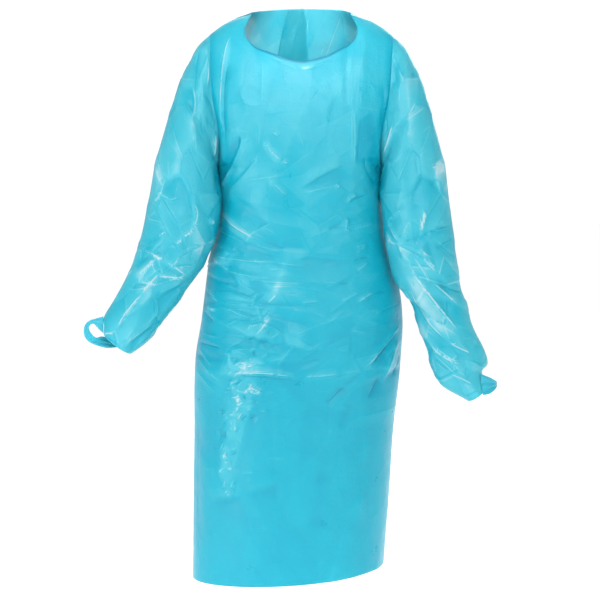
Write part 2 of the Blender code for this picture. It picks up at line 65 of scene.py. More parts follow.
# The neckline from the right shoulder seam to the left one, by the front and the back.
NECK_FRONT = (
    (-0.1166, 0.0100, 0.0170),
    (-0.1166, -0.0090, 0.0050),
    (-0.1168, -0.0270, -0.0110),
    (-0.1160, -0.0420, -0.0280),
    (-0.0975, -0.0590, -0.0520),
    (-0.0669, -0.0750, -0.0640),
    (-0.0378, -0.0830, -0.0755),
    (0.0000, -0.0860, -0.0837),
    (0.0300, -0.0845, -0.0790),
    (0.0562, -0.0790, -0.0710),
    (0.0800, -0.0710, -0.0585),
    (0.1036, -0.0560, -0.0455),
    (0.1165, -0.0420, -0.0280),
    (0.1170, -0.0270, -0.0110),
    (0.1170, -0.0090, 0.0060),
    (0.1170, 0.0100, 0.0190),
)
NECK_BACK = (
    (-0.1166, 0.0100, 0.0170),
    (-0.1023, 0.0340, 0.0205),
    (-0.0717, 0.0500, 0.0230),
    (-0.0400, 0.0640, 0.0265),
    (0.0000, 0.0700, 0.0285),
    (0.0400, 0.0650, 0.0280),
    (0.0737, 0.0510, 0.0262),
    (0.1030, 0.0350, 0.0238),
    (0.1170, 0.0100, 0.0190),
)
NECK_SHARE = 0.50  # share of a panel's top edge that is neckline
SHOULDER_CROWN = 0.004  # rise of the shoulder seams above a plain fall
SEAM = -0.0006  # gap along a seam: below 0, so its edges lie over each other
LAP_GAP = 0.0025  # from the inner back panel to the one that laps over it
LAP_RISES = (-0.8, -0.4)  # towards the left, where the outer panel comes clear
ARMHOLE_IN = 0.012  # inward bend of the armholes, low at the front and back
ARMHOLE_DEPTH = 0.064  # from the armhole's middle to its front and back edges

# Pulls of the curves that run up the chest and the back, from the section at the
# underarms to the neckline and the shoulder seams; SIDES is what the sides have more.
RISE, RISE_SIDES = 0.24, 0.06
SWELL, SWELL_SIDES = 0.015, 0.030
RISE_IN = 0.20
LEAN_FRONT, LEAN_BACK, LEAN_SIDES = 0.05, 0.09, 0.16
SHOULDER_FULL = 0.08  # more of the lean beside the neck, so that no hollow is left
CORNER_REACH = 0.20  # either side of the neckline's corner, over which it is rounded
SHOULDER_WIDTH = 0.17
NECK_IN = 0.0155  # inward run of the neckline's sides, above its widest level
NECK_HALF, NECK_FADE = 0.1168, 0.034  # half its width, and how far the run reaches
NECK_WIDEST, NECK_TOP = -0.018, 0.021

# Sections of the body: reach to the wearer's right and left, depth ahead and behind.
Section = namedtuple("Section", "height right left front back")
BODY = (
    Section(-0.300, 0.1760, 0.1710, 0.114, 0.108),
    Section(-0.340, 0.1730, 0.1690, 0.113, 0.104),
    Section(-0.375, 0.1720, 0.1720, 0.112, 0.101),
    Section(-0.430, 0.1785, 0.1765, 0.113, 0.100),
    Section(-0.490, 0.1930, 0.1890, 0.116, 0.103),
    Section(-0.560, 0.2030, 0.2090, 0.121, 0.110),
    Section(-0.630, 0.2120, 0.2165, 0.127, 0.120),
    Section(-0.700, 0.2240, 0.2135, 0.132, 0.127),
    Section(-0.765, 0.2280, 0.2090, 0.134, 0.130),
    Section(-0.850, 0.2290, 0.2000, 0.135, 0.131),
    Section(-1.000, 0.2320, 0.1910, 0.138, 0.134),
    Section(-1.170, 0.2345, 0.1795, 0.138, 0.136),
)
SHOULDER_RIGHT = (-0.190, 0.0, -0.028)
SHOULDER_LEFT = (0.192, 0.0, -0.028)

# Rings of a sleeve below its armhole: outer and inner edge (x away from the body,
# and height), how far the middle lies towards the back, and half the depth.
Ring = namedtuple("Ring", "outer_x outer_z inner_x inner_z middle_y depth")
RINGS_RIGHT = (
    Ring(0.2140, -0.0520, 0.1768, -0.3120, -0.006, 0.072),
    Ring(0.2400, -0.1000, 0.1738, -0.3250, -0.014, 0.073),
    Ring(0.2620, -0.1510, 0.1715, -0.3380, -0.024, 0.073),
    Ring(0.2930, -0.2580, 0.1685, -0.3620, -0.036, 0.071),
    Ring(0.3178, -0.3680, 0.1680, -0.3920, -0.046, 0.069),
    Ring(0.3359, -0.4540, 0.1810, -0.4580, -0.054, 0.064),
    Ring(0.3600, -0.5200, 0.2200, -0.5300, -0.062, 0.054),
    Ring(0.3870, -0.5720, 0.2560, -0.5790, -0.074, 0.046),
    Ring(0.4095, -0.6100, 0.2970, -0.6300, -0.084, 0.040),
    Ring(0.4095, -0.6290, 0.3190, -0.6620, -0.090, 0.038),
    Ring(0.4090, -0.6460, 0.3530, -0.6870, -0.094, 0.037),
)
RINGS_LEFT = (
    Ring(0.2160, -0.0520, 0.1722, -0.3120, -0.006, 0.072),
    Ring(0.2410, -0.0980, 0.1695, -0.3250, -0.014, 0.073),
    Ring(0.2620, -0.1520, 0.1680, -0.3380, -0.024, 0.073),
    Ring(0.2910, -0.2640, 0.1672, -0.3650, -0.038, 0.071),
    Ring(0.3090, -0.3740, 0.1705, -0.3980, -0.048, 0.069),
    Ring(0.3236, -0.4650, 0.1780, -0.4680, -0.056, 0.064),
    Ring(0.3285, -0.5280, 0.1940, -0.5300, -0.064, 0.056),
    Ring(0.3430, -0.5780, 0.2250, -0.5760, -0.071, 0.049),
    Ring(0.3586, -0.6300, 0.2420, -0.6200, -0.078, 0.044),
    Ring(0.3880, -0.7020, 0.2710, -0.7080, -0.091, 0.038),
    Ring(0.3770, -0.7240, 0.2860, -0.7450, -0.095, 0.036),
    Ring(0.3830, -0.7600, 0.3460, -0.7856, -0.098, 0.037),
)

# How far each back panel reaches past centre back, as a share of half the back.
Lap = namedtuple("Lap", "height inner outer")
LAPS = (
    Lap(0.030, 0.10, 0.02),
    Lap(-0.060, 0.17, 0.05),
    Lap(-0.300, 0.25, 0.12),
    Lap(-0.520, 0.32, 0.20),
    Lap(-1.170, 0.28, 0.22),
)

# Thumb loops: places on the two edges of each strip of film, from cuff to cuff.
LOOP_RIGHT = (
    (-0.4100, -0.0950, -0.6088, -0.4107, -0.0950, -0.6440),
    (-0.4205, -0.0950, -0.6117, -0.4178, -0.0950, -0.6377),
    (-0.4300, -0.0950, -0.6144, -0.4241, -0.0950, -0.6308),
    (-0.4374, -0.0955, -0.6167, -0.4290, -0.0955, -0.6245),
    (-0.4437, -0.0960, -0.6209, -0.4357, -0.0960, -0.6252),
    (-0.4485, -0.0965, -0.6272, -0.4401, -0.0965, -0.6306),
    (-0.4508, -0.0970, -0.6377, -0.4393, -0.0970, -0.6369),
    (-0.4498, -0.0970, -0.6495, -0.4353, -0.0970, -0.6440),
    (-0.4439, -0.0965, -0.6587, -0.4306, -0.0965, -0.6495),
    (-0.4346, -0.0955, -0.6656, -0.4250, -0.0955, -0.6532),
    (-0.4205, -0.0925, -0.6715, -0.4170, -0.0925, -0.6515),
    (-0.4041, -0.0860, -0.6761, -0.4096, -0.0860, -0.6530),
    (-0.3877, -0.0760, -0.6765, -0.3953, -0.0760, -0.6618),
    (-0.3711, -0.0615, -0.6765, -0.3763, -0.0615, -0.6695),
)
LOOP_LEFT = (
    (0.3712, -0.1160, -0.7255, 0.3752, -0.1322, -0.7690),
    (0.3850, -0.1180, -0.7320, 0.3880, -0.1280, -0.7665),
    (0.3970, -0.1125, -0.7395, 0.3990, -0.1175, -0.7620),
    (0.4060, -0.1030, -0.7445, 0.4065, -0.1045, -0.7570),
    (0.4085, -0.0930, -0.7465, 0.4085, -0.0930, -0.7555),
    (0.4050, -0.0830, -0.7450, 0.4050, -0.0820, -0.7570),
    (0.3950, -0.0785, -0.7400, 0.3950, -0.0770, -0.7620),
    (0.3835, -0.0800, -0.7350, 0.3865, -0.0790, -0.7630),
    (0.3758, -0.0812, -0.7310, 0.3813, -0.0805, -0.7600),
)

LOOP_DEPTH = 0.10  # of their waves, as a share of half their width

# Waist ties: places as metres round the back from its centre, and heights.
TIE_HALF_WIDTH = 0.011
TIE_HEIGHT = -0.513
TIE_FLAT = (0.014, 0.035)  # from the ties, where their pull keeps folds away
LAP_FLAT = (0.33, 0.55)  # across the back, where the lapped panels lie flat
TIE_CLEAR = 0.0006  # from the panel under a tie
TIE_PLEAT = 0.0007  # further out again, on the middle of its pleats
TIE_STEP = (-0.45, -0.15)  # towards the right, where a tie rises onto the outer panel
BACK_HALF_ROUND = 0.268  # from centre back to a side seam
TIE_RIGHT = (
    (-0.262, -0.505),
    (-0.180, -0.512),
    (-0.100, -0.518),
    (-0.040, -0.521),
    (-0.017, -0.537),
    (-0.014, -0.570),
    (-0.022, -0.640),
    (-0.030, -0.740),
)
TIE_LEFT = (
    (0.262, -0.505),
    (0.180, -0.512),
    (0.100, -0.518),
    (0.042, -0.521),
    (0.019, -0.537),
    (0.016, -0.570),
    (0.026, -0.650),
    (0.040, -0.770),
)
KNOT_HALF = (0.022, 0.0058, 0.016)
KNOT_HEIGHT = -0.523
KNOT_LIFT = 2 * LAP_GAP + 0.0026  # from the body, well clear of the ties under it

# ---- creases ----------------------------------------------------------------------
FINE_WIDTH = 0.0075  # creases narrower than this have a fine painted line along them, a highlight by a shade
FULL_RISE = 0.0050  # height at which that line is at its strongest
LINE_REACH = 0.015  # distance that stands for no line
CREASE_PLACES = 9  # along a crease, between which it runs straight
CREASE_ENDS = 0.25  # share of its run over which it comes in, and goes out again
CREASE_REACH = 3.5  # widths past which it is nothing,
STEP_REACH = 11  # and the same where it has a step
SKIRT_SHADE = 0.16  # painted shade: how much deeper the film is drawn from the waist down,
SKIRT_FROM = (0.20, 0.75)  # coming in between these depths
EDGE_SHADE = 0.24  # and how much deeper it is drawn where it turns away at its sides, a painted shade
CREASE_SHADING = 45.0  # how much lighter the film is drawn for each metre of a crease's height, a painted highlight on ridges and a painted shade in troughs,
CREASE_SHADING_RANGE = (-0.12, 0.26)  # between these
RIM_SHADE, RIM_ROWS = -0.50, 3  # of the painted shade along the neckline's rim, and how many rows it takes up
RIM_FADE = 0.04  # past the neckline's share of the top edge
# Across a panel, where its creases die away towards its side seams, and where the film is
# drawn deeper there, a painted shade; and the crease heights that the lap doesn't hold down.
FRONT_DIES, BACK_DIES = (0.86, 0.995), (0.78, 0.99)
EDGE_FROM = (0.84, 0.99)
LAP_HOLDS = (0.0010, 0.0020)
TOP_ROWS = 8  # over which a panel's creases die away at its top edge
SLEEVE_TURN = (-0.15, 0.25)  # of a sleeve's normal, between its two sets of creases
SLEEVE_TOP, SLEEVE_CUFF = 6, 8  # rows over which they die away at its ends
SLEEVE_CUFF_PAST = 3  # rows beyond the cuff where they would be gone
SLEEVE_EDGE = 0.45  # of a sleeve's normal, below which a painted shade deepens it towards its edges
TROUGH_SHARE = 0.35  # of the small random creases
SMALL_BOW = 0.05  # the most that they are bowed, as a share of half their length
SMALL_WIDTHS = (0.0028, 0.0052)
# Each runs through three places seen from the front or the back (x and height). rise
# is its height outwards, a trough where negative; step raises the film on the left of
# the run and lowers it on the right, as a fold does that lies over itself.
Crease = namedtuple("Crease", "x0 z0 x1 z1 x2 z2 width rise step")
FRONT_CREASES = (
    # from the shoulders down the armholes
    Crease(-0.142, -0.029, -0.160, -0.092, -0.167, -0.225, 0.007, 0.0036, 0.0),
    Crease(-0.149, -0.081, -0.158, -0.160, -0.156, -0.266, 0.006, -0.0030, 0.0),
    Crease(-0.146, -0.297, -0.158, -0.325, -0.168, -0.345, 0.005, 0.0030, 0.0),
    Crease(0.170, -0.122, 0.172, -0.179, 0.166, -0.241, 0.008, -0.0030, 0.0),
    Crease(0.146, -0.276, 0.152, -0.310, 0.150, -0.350, 0.010, -0.0030, 0.0),
    # down the chest, and two fold lines that meet under the neckline
    Crease(-0.079, -0.081, -0.080, -0.130, -0.079, -0.183, 0.004, 0.0010, 0.0),
    Crease(0.102, -0.061, 0.104, -0.180, 0.102, -0.296, 0.005, 0.0013, 0.0),
    Crease(0.081, -0.102, 0.082, -0.130, 0.081, -0.163, 0.010, 0.0020, 0.0),
    Crease(0.125, -0.071, 0.126, -0.097, 0.124, -0.122, 0.008, 0.0020, 0.0),
    Crease(-0.067, -0.071, -0.032, -0.090, 0.005, -0.102, 0.003, 0.0012, 0.0),
    Crease(0.073, -0.073, 0.040, -0.090, 0.005, -0.102, 0.003, 0.0016, 0.0),
    # the right side of the chest
    Crease(-0.122, -0.232, -0.129, -0.269, -0.172, -0.358, 0.0040, 0.0015, 0.0020),
    Crease(-0.085, -0.271, -0.112, -0.309, -0.156, -0.356, 0.0040, 0.0010, 0.0012),
    Crease(-0.083, -0.208, -0.085, -0.232, -0.087, -0.254, 0.0035, 0.0015, 0.0),
    Crease(-0.079, -0.242, -0.058, -0.269, -0.038, -0.287, 0.0045, 0.0028, 0.0),
    Crease(-0.075, -0.252, -0.056, -0.277, -0.040, -0.293, 0.0035, 0.0012, 0.0),
    Crease(-0.036, -0.285, -0.032, -0.289, -0.026, -0.291, 0.0040, 0.0040, 0.0),
    Crease(-0.058, -0.228, -0.052, -0.232, -0.048, -0.236, 0.0040, 0.0025, 0.0),
    Crease(-0.125, -0.331, -0.077, -0.322, -0.028, -0.315, 0.0040, 0.0016, 0.0),
    Crease(-0.067, -0.322, -0.046, -0.342, -0.028, -0.359, 0.0040, 0.0024, 0.0),
    # the left side of the chest
    Crease(-0.003, -0.344, 0.044, -0.314, 0.092, -0.292, 0.0045, 0.0012, 0.0024),
    Crease(0.003, -0.352, 0.040, -0.344, 0.073, -0.337, 0.0040, 0.0020, 0.0),
    Crease(0.071, -0.334, 0.075, -0.339, 0.077, -0.341, 0.0040, 0.0040, 0.0),
    Crease(0.094, -0.374, 0.104, -0.364, 0.115, -0.356, 0.0050, 0.0030, 0.0),
    Crease(0.096, -0.374, 0.117, -0.364, 0.143, -0.357, 0.0035, -0.0020, 0.0),
    Crease(0.110, -0.179, 0.110, -0.240, 0.110, -0.300, 0.0040, 0.0018, 0.0),
    Crease(0.133, -0.278, 0.136, -0.308, 0.163, -0.343, 0.0040, -0.0026, 0.0),
    Crease(0.163, -0.349, 0.170, -0.379, 0.177, -0.405, 0.0050, -0.0030, 0.0),
    Crease(0.160, -0.296, 0.161, -0.307, 0.161, -0.318, 0.0035, -0.0034, 0.0),
    Crease(0.094, -0.403, 0.094, -0.415, 0.092, -0.426, 0.0040, 0.0032, 0.0),
    Crease(0.092, -0.426, 0.096, -0.430, 0.102, -0.430, 0.0040, 0.0020, 0.0),
    # from under the right arm
    Crease(-0.167, -0.395, -0.138, -0.423, -0.079, -0.452, 0.0060, 0.0030, 0.0),
    Crease(-0.185, -0.488, -0.125, -0.492, -0.040, -0.496, 0.0040, 0.0024, 0.0),
    Crease(-0.155, -0.515, -0.115, -0.523, -0.053, -0.529, 0.0045, 0.0026, 0.0),
    Crease(-0.185, -0.488, -0.166, -0.505, -0.149, -0.516, 0.0040, 0.0030, 0.0),
    Crease(-0.164, -0.512, -0.144, -0.528, -0.132, -0.554, 0.0040, -0.0024, 0.0),
    Crease(-0.184, -0.539, -0.155, -0.542, -0.136, -0.551, 0.0040, -0.0020, 0.0),
    Crease(-0.201, -0.565, -0.188, -0.575, -0.175, -0.586, 0.0040, -0.0024, 0.0),
    Crease(-0.177, -0.574, -0.100, -0.580, -0.001, -0.580, 0.0040, -0.0012, 0.0015),
    Crease(-0.175, -0.581, -0.100, -0.588, -0.001, -0.587, 0.0050, 0.0018, 0.0),
    Crease(-0.170, -0.588, -0.121, -0.606, -0.079, -0.618, 0.0050, 0.0028, 0.0),
    Crease(-0.136, -0.607, -0.088, -0.617, -0.059, -0.622, 0.0035, -0.0022, 0.0),
    Crease(-0.183, -0.594, -0.183, -0.598, -0.183, -0.602, 0.0040, 0.0040, 0.0),
    Crease(-0.206, -0.605, -0.195, -0.615, -0.181, -0.626, 0.0040, -0.0028, 0.0),
    Crease(-0.201, -0.592, -0.190, -0.597, -0.181, -0.604, 0.0040, 0.0020, 0.0),
    Crease(-0.217, -0.672, -0.190, -0.674, -0.164, -0.677, 0.0040, -0.0024, 0.0),
    Crease(-0.166, -0.646, -0.130, -0.649, -0.100, -0.652, 0.0040, 0.0018, 0.0),
    Crease(-0.149, -0.680, -0.113, -0.675, -0.075, -0.672, 0.0040, 0.0024, 0.0),
    Crease(-0.220, -0.684, -0.201, -0.701, -0.186, -0.721, 0.0040, 0.0018, 0.0),
    Crease(-0.223, -0.698, -0.199, -0.724, -0.164, -0.752, 0.0050, 0.0022, 0.0),
    Crease(-0.223, -0.728, -0.203, -0.750, -0.177, -0.775, 0.0050, 0.0016, 0.0),
    # streaks where the film is drawn over the hip
    Crease(-0.094, -0.650, -0.079, -0.631, -0.061, -0.612, 0.0060, 0.0026, 0.0),
    Crease(-0.088, -0.643, -0.077, -0.626, -0.071, -0.610, 0.0040, 0.0022, 0.0),
    Crease(-0.075, -0.624, -0.067, -0.614, -0.061, -0.606, 0.0040, 0.0024, 0.0),
    Crease(-0.107, -0.700, -0.090, -0.703, -0.071, -0.703, 0.0035, 0.0026, 0.0),
    Crease(-0.134, -0.712, -0.123, -0.703, -0.111, -0.710, 0.0045, 0.0036, 0.0),
    Crease(-0.155, -0.691, -0.151, -0.686, -0.147, -0.692, 0.0040, 0.0026, 0.0),
    Crease(-0.128, -0.728, -0.079, -0.723, -0.001, -0.732, 0.0050, 0.0050, 0.0),
    Crease(-0.001, -0.730, 0.040, -0.728, 0.084, -0.724, 0.0060, 0.0032, 0.0),
    Crease(-0.128, -0.734, -0.079, -0.732, -0.001, -0.740, 0.0040, -0.0024, 0.0),
    Crease(-0.138, -0.739, -0.145, -0.750, -0.134, -0.760, 0.0035, 0.0024, 0.0),
    Crease(-0.134, -0.760, -0.126, -0.764, -0.117, -0.763, 0.0035, 0.0020, 0.0),
    Crease(-0.109, -0.752, -0.094, -0.758, -0.080, -0.765, 0.0060, 0.0050, 0.0),
    Crease(-0.107, -0.763, -0.092, -0.766, -0.080, -0.768, 0.0040, 0.0030, 0.0),
    # the waist and the hip on the left
    Crease(0.113, -0.465, 0.126, -0.462, 0.138, -0.459, 0.0040, 0.0018, 0.0),
    Crease(0.107, -0.494, 0.126, -0.489, 0.145, -0.488, 0.0040, -0.0022, 0.0),
    Crease(0.117, -0.513, 0.128, -0.506, 0.141, -0.496, 0.0050, 0.0024, 0.0),
    Crease(0.075, -0.538, 0.088, -0.539, 0.102, -0.538, 0.0040, -0.0020, 0.0),
    Crease(-0.001, -0.577, 0.018, -0.576, 0.036, -0.574, 0.0040, 0.0016, 0.0),
    Crease(0.082, -0.577, 0.102, -0.567, 0.123, -0.558, 0.0040, 0.0020, 0.0),
    Crease(0.117, -0.580, 0.134, -0.568, 0.151, -0.558, 0.0045, 0.0032, 0.0),
    Crease(0.134, -0.573, 0.151, -0.564, 0.184, -0.559, 0.0040, -0.0024, 0.0),
    Crease(0.134, -0.623, 0.149, -0.622, 0.166, -0.623, 0.0040, 0.0018, 0.0),
    Crease(0.103, -0.636, 0.119, -0.639, 0.136, -0.641, 0.0040, 0.0018, 0.0),
    Crease(-0.001, -0.675, 0.024, -0.673, 0.051, -0.671, 0.0040, 0.0014, 0.0),
    Crease(0.211, -0.629, 0.175, -0.673, 0.128, -0.717, 0.0050, 0.0045, 0.0),
    Crease(0.209, -0.639, 0.175, -0.679, 0.143, -0.715, 0.0045, -0.0040, 0.0),
    Crease(0.206, -0.659, 0.191, -0.700, 0.174, -0.744, 0.0050, 0.0034, 0.0),
    Crease(0.209, -0.690, 0.203, -0.722, 0.194, -0.743, 0.0045, -0.0030, 0.0),
    Crease(0.163, -0.736, 0.152, -0.758, 0.139, -0.782, 0.0050, -0.0030, 0.0),
    Crease(0.128, -0.724, 0.103, -0.743, 0.082, -0.771, 0.0080, -0.0026, 0.0),
    Crease(0.182, -0.719, 0.176, -0.736, 0.167, -0.751, 0.0040, 0.0022, 0.0),
    # the broad soft bands of the front and the skirt
    Crease(-0.026, -0.459, -0.040, -0.525, -0.063, -0.583, 0.018, 0.0035, 0.0),
    Crease(-0.063, -0.583, -0.077, -0.625, -0.094, -0.656, 0.016, 0.0030, 0.0),
    Crease(-0.134, -0.773, -0.137, -0.830, -0.152, -0.880, 0.012, 0.0028, 0.0),
    Crease(-0.152, -0.880, -0.163, -0.920, -0.169, -0.957, 0.010, 0.0026, 0.0),
    Crease(-0.159, -0.973, -0.152, -0.982, -0.144, -0.990, 0.007, 0.0030, 0.0),
    Crease(-0.192, -1.008, -0.154, -0.992, -0.116, -0.983, 0.006, 0.0, 0.0030),
    Crease(-0.116, -0.983, -0.078, -0.966, -0.043, -0.954, 0.006, 0.0, 0.0030),
    Crease(-0.131, -0.940, -0.112, -0.935, -0.095, -0.931, 0.004, 0.0016, 0.0),
    Crease(0.092, -0.749, 0.072, -0.769, 0.051, -0.790, 0.006, -0.0030, 0.0),
    Crease(0.107, -0.783, 0.095, -0.814, 0.082, -0.844, 0.009, -0.0026, 0.0),
    Crease(0.030, -0.943, 0.051, -0.946, 0.072, -0.945, 0.016, -0.0022, 0.0),
    Crease(0.009, -1.034, 0.036, -1.037, 0.062, -1.036, 0.014, -0.0020, 0.0),
    Crease(0.133, -0.870, 0.134, -0.897, 0.133, -0.924, 0.010, 0.0020, 0.0),
    Crease(0.121, -0.986, 0.123, -1.018, 0.121, -1.051, 0.012, 0.0020, 0.0),
    Crease(-0.074, -0.900, -0.053, -0.901, -0.032, -0.899, 0.004, 0.0010, 0.0),
    Crease(-0.214, -0.939, -0.180, -0.934, -0.148, -0.927, 0.004, 0.0010, 0.0),
    Crease(-0.116, -1.052, -0.090, -1.051, -0.064, -1.048, 0.004, 0.0010, 0.0),
    Crease(-0.216, -0.795, -0.221, -0.970, -0.218, -1.142, 0.012, -0.0030, 0.0),
)
BACK_CREASES = (
    # seen inside the neck
    Crease(0.000, 0.014, -0.016, -0.011, -0.031, -0.040, 0.003, 0.0, 0.0014),
    Crease(-0.075, 0.012, -0.077, 0.000, -0.076, -0.012, 0.004, 0.0012, 0.0),
    Crease(0.052, 0.018, 0.062, 0.012, 0.073, 0.005, 0.004, -0.0012, 0.0),
    Crease(-0.001, -0.032, 0.015, -0.030, 0.031, -0.027, 0.004, -0.0012, 0.0),
    Crease(0.042, -0.036, 0.053, -0.046, 0.063, -0.057, 0.004, -0.0012, 0.0),
    # pulled in by the ties
    Crease(-0.180, -0.430, -0.110, -0.462, -0.040, -0.490, 0.014, 0.0055, 0.0),
    Crease(0.175, -0.420, 0.112, -0.452, 0.050, -0.486, 0.014, 0.0055, 0.0),
    Crease(-0.190, -0.585, -0.125, -0.566, -0.070, -0.556, 0.012, 0.0050, 0.0),
    Crease(0.195, -0.605, 0.128, -0.574, 0.075, -0.560, 0.012, 0.0050, 0.0),
    Crease(-0.175, -0.705, -0.112, -0.650, -0.075, -0.600, 0.014, 0.0055, 0.0),
    Crease(0.168, -0.728, 0.118, -0.668, 0.082, -0.612, 0.014, 0.0055, 0.0),
    Crease(-0.150, -0.455, -0.120, -0.474, -0.085, -0.486, 0.006, -0.0030, 0.0),
    Crease(0.155, -0.462, 0.120, -0.474, 0.095, -0.482, 0.006, -0.0030, 0.0),
    Crease(-0.170, -0.620, -0.130, -0.600, -0.100, -0.588, 0.006, 0.0026, 0.0),
    Crease(0.165, -0.640, 0.130, -0.612, 0.105, -0.590, 0.006, 0.0026, 0.0),
    # across the shoulder blades and down the skirt
    Crease(-0.150, -0.200, -0.090, -0.226, -0.030, -0.214, 0.008, 0.0024, 0.0),
    Crease(0.148, -0.252, 0.092, -0.246, 0.040, -0.268, 0.007, 0.0022, 0.0),
    Crease(-0.158, -0.330, -0.100, -0.322, -0.052, -0.346, 0.006, 0.0020, 0.0),
    Crease(0.150, -0.120, 0.138, -0.180, 0.144, -0.250, 0.009, -0.0030, 0.0),
    Crease(-0.152, -0.110, -0.141, -0.170, -0.148, -0.240, 0.009, -0.0030, 0.0),
    Crease(-0.120, -0.780, -0.132, -0.900, -0.126, -1.060, 0.016, 0.0035, 0.0),
    Crease(0.110, -0.800, 0.124, -0.930, 0.116, -1.100, 0.016, 0.0030, 0.0),
    Crease(-0.185, -0.820, -0.192, -0.930, -0.190, -1.080, 0.013, -0.0030, 0.0),
    Crease(0.165, -0.840, 0.168, -0.960, 0.160, -1.090, 0.013, -0.0030, 0.0),
    Crease(0.060, -0.960, 0.010, -0.976, -0.050, -0.968, 0.006, 0.0, 0.0016),
    Crease(-0.160, -0.905, -0.110, -0.920, -0.060, -0.912, 0.005, 0.0014, 0.0),
)
SLEEVE_CREASES_RIGHT = (
    # from the shoulder down beside the armhole
    Crease(-0.188, -0.040, -0.190, -0.090, -0.193, -0.140, 0.006, 0.0030, 0.0),
    Crease(-0.209, -0.060, -0.216, -0.095, -0.217, -0.153, 0.005, -0.0026, 0.0),
    Crease(-0.176, -0.290, -0.177, -0.325, -0.173, -0.361, 0.005, -0.0020, 0.0),
    Crease(-0.262, -0.230, -0.252, -0.275, -0.258, -0.325, 0.008, 0.0022, 0.0),
    # the sleeve head and upper arm
    Crease(-0.224, -0.134, -0.217, -0.167, -0.225, -0.202, 0.0035, 0.0024, 0.0),
    Crease(-0.201, -0.149, -0.183, -0.177, -0.173, -0.219, 0.0040, -0.0024, 0.0),
    Crease(-0.177, -0.235, -0.179, -0.258, -0.182, -0.281, 0.0040, 0.0045, 0.0),
    Crease(-0.183, -0.406, -0.183, -0.413, -0.182, -0.419, 0.0040, 0.0040, 0.0),
    Crease(-0.292, -0.354, -0.280, -0.359, -0.268, -0.365, 0.0040, 0.0028, 0.0),
    Crease(-0.268, -0.365, -0.259, -0.364, -0.249, -0.360, 0.0040, 0.0028, 0.0),
    Crease(-0.285, -0.363, -0.289, -0.378, -0.293, -0.384, 0.0035, 0.0012, 0.0),
    Crease(-0.293, -0.384, -0.305, -0.395, -0.318, -0.404, 0.0035, 0.0014, 0.0),
    Crease(-0.322, -0.406, -0.304, -0.409, -0.285, -0.412, 0.0040, 0.0018, 0.0),
    Crease(-0.221, -0.373, -0.213, -0.394, -0.221, -0.422, 0.0040, 0.0028, 0.0),
    Crease(-0.229, -0.375, -0.223, -0.396, -0.229, -0.420, 0.0035, -0.0018, 0.0),
    Crease(-0.260, -0.460, -0.239, -0.442, -0.218, -0.423, 0.0040, 0.0040, 0.0),
    Crease(-0.291, -0.441, -0.285, -0.437, -0.276, -0.430, 0.0050, 0.0045, 0.0),
    Crease(-0.270, -0.461, -0.264, -0.463, -0.258, -0.459, 0.0040, 0.0026, 0.0),
    # the elbow
    Crease(-0.330, -0.471, -0.299, -0.480, -0.283, -0.490, 0.0040, 0.0034, 0.0),
    Crease(-0.306, -0.479, -0.293, -0.484, -0.285, -0.489, 0.0040, 0.0045, 0.0),
    Crease(-0.283, -0.490, -0.259, -0.505, -0.233, -0.528, 0.0040, 0.0022, 0.0),
    Crease(-0.306, -0.488, -0.305, -0.496, -0.304, -0.507, 0.0040, 0.0036, 0.0),
    Crease(-0.304, -0.507, -0.300, -0.511, -0.293, -0.517, 0.0035, 0.0024, 0.0),
    Crease(-0.293, -0.523, -0.265, -0.525, -0.237, -0.531, 0.0040, 0.0028, 0.0),
    Crease(-0.291, -0.521, -0.283, -0.525, -0.273, -0.525, 0.0050, 0.0040, 0.0),
    Crease(-0.237, -0.533, -0.268, -0.547, -0.298, -0.560, 0.0040, 0.0016, -0.0015),
    # the forearm
    Crease(-0.293, -0.517, -0.308, -0.535, -0.327, -0.558, 0.0045, 0.0050, 0.0),
    Crease(-0.327, -0.558, -0.354, -0.591, -0.380, -0.630, 0.0040, 0.0034, 0.0),
    Crease(-0.302, -0.566, -0.296, -0.586, -0.301, -0.616, 0.0035, 0.0028, 0.0),
    Crease(-0.301, -0.616, -0.333, -0.640, -0.362, -0.661, 0.0040, 0.0022, -0.0015),
    Crease(-0.407, -0.647, -0.383, -0.659, -0.368, -0.677, 0.0040, -0.0024, 0.0),
    Crease(-0.405, -0.641, -0.393, -0.642, -0.385, -0.642, 0.0040, 0.0030, 0.0),
    Crease(-0.360, -0.528, -0.349, -0.515, -0.335, -0.498, 0.0050, 0.0020, 0.0),
    Crease(-0.360, -0.550, -0.335, -0.550, -0.310, -0.545, 0.0040, 0.0014, 0.0),
)
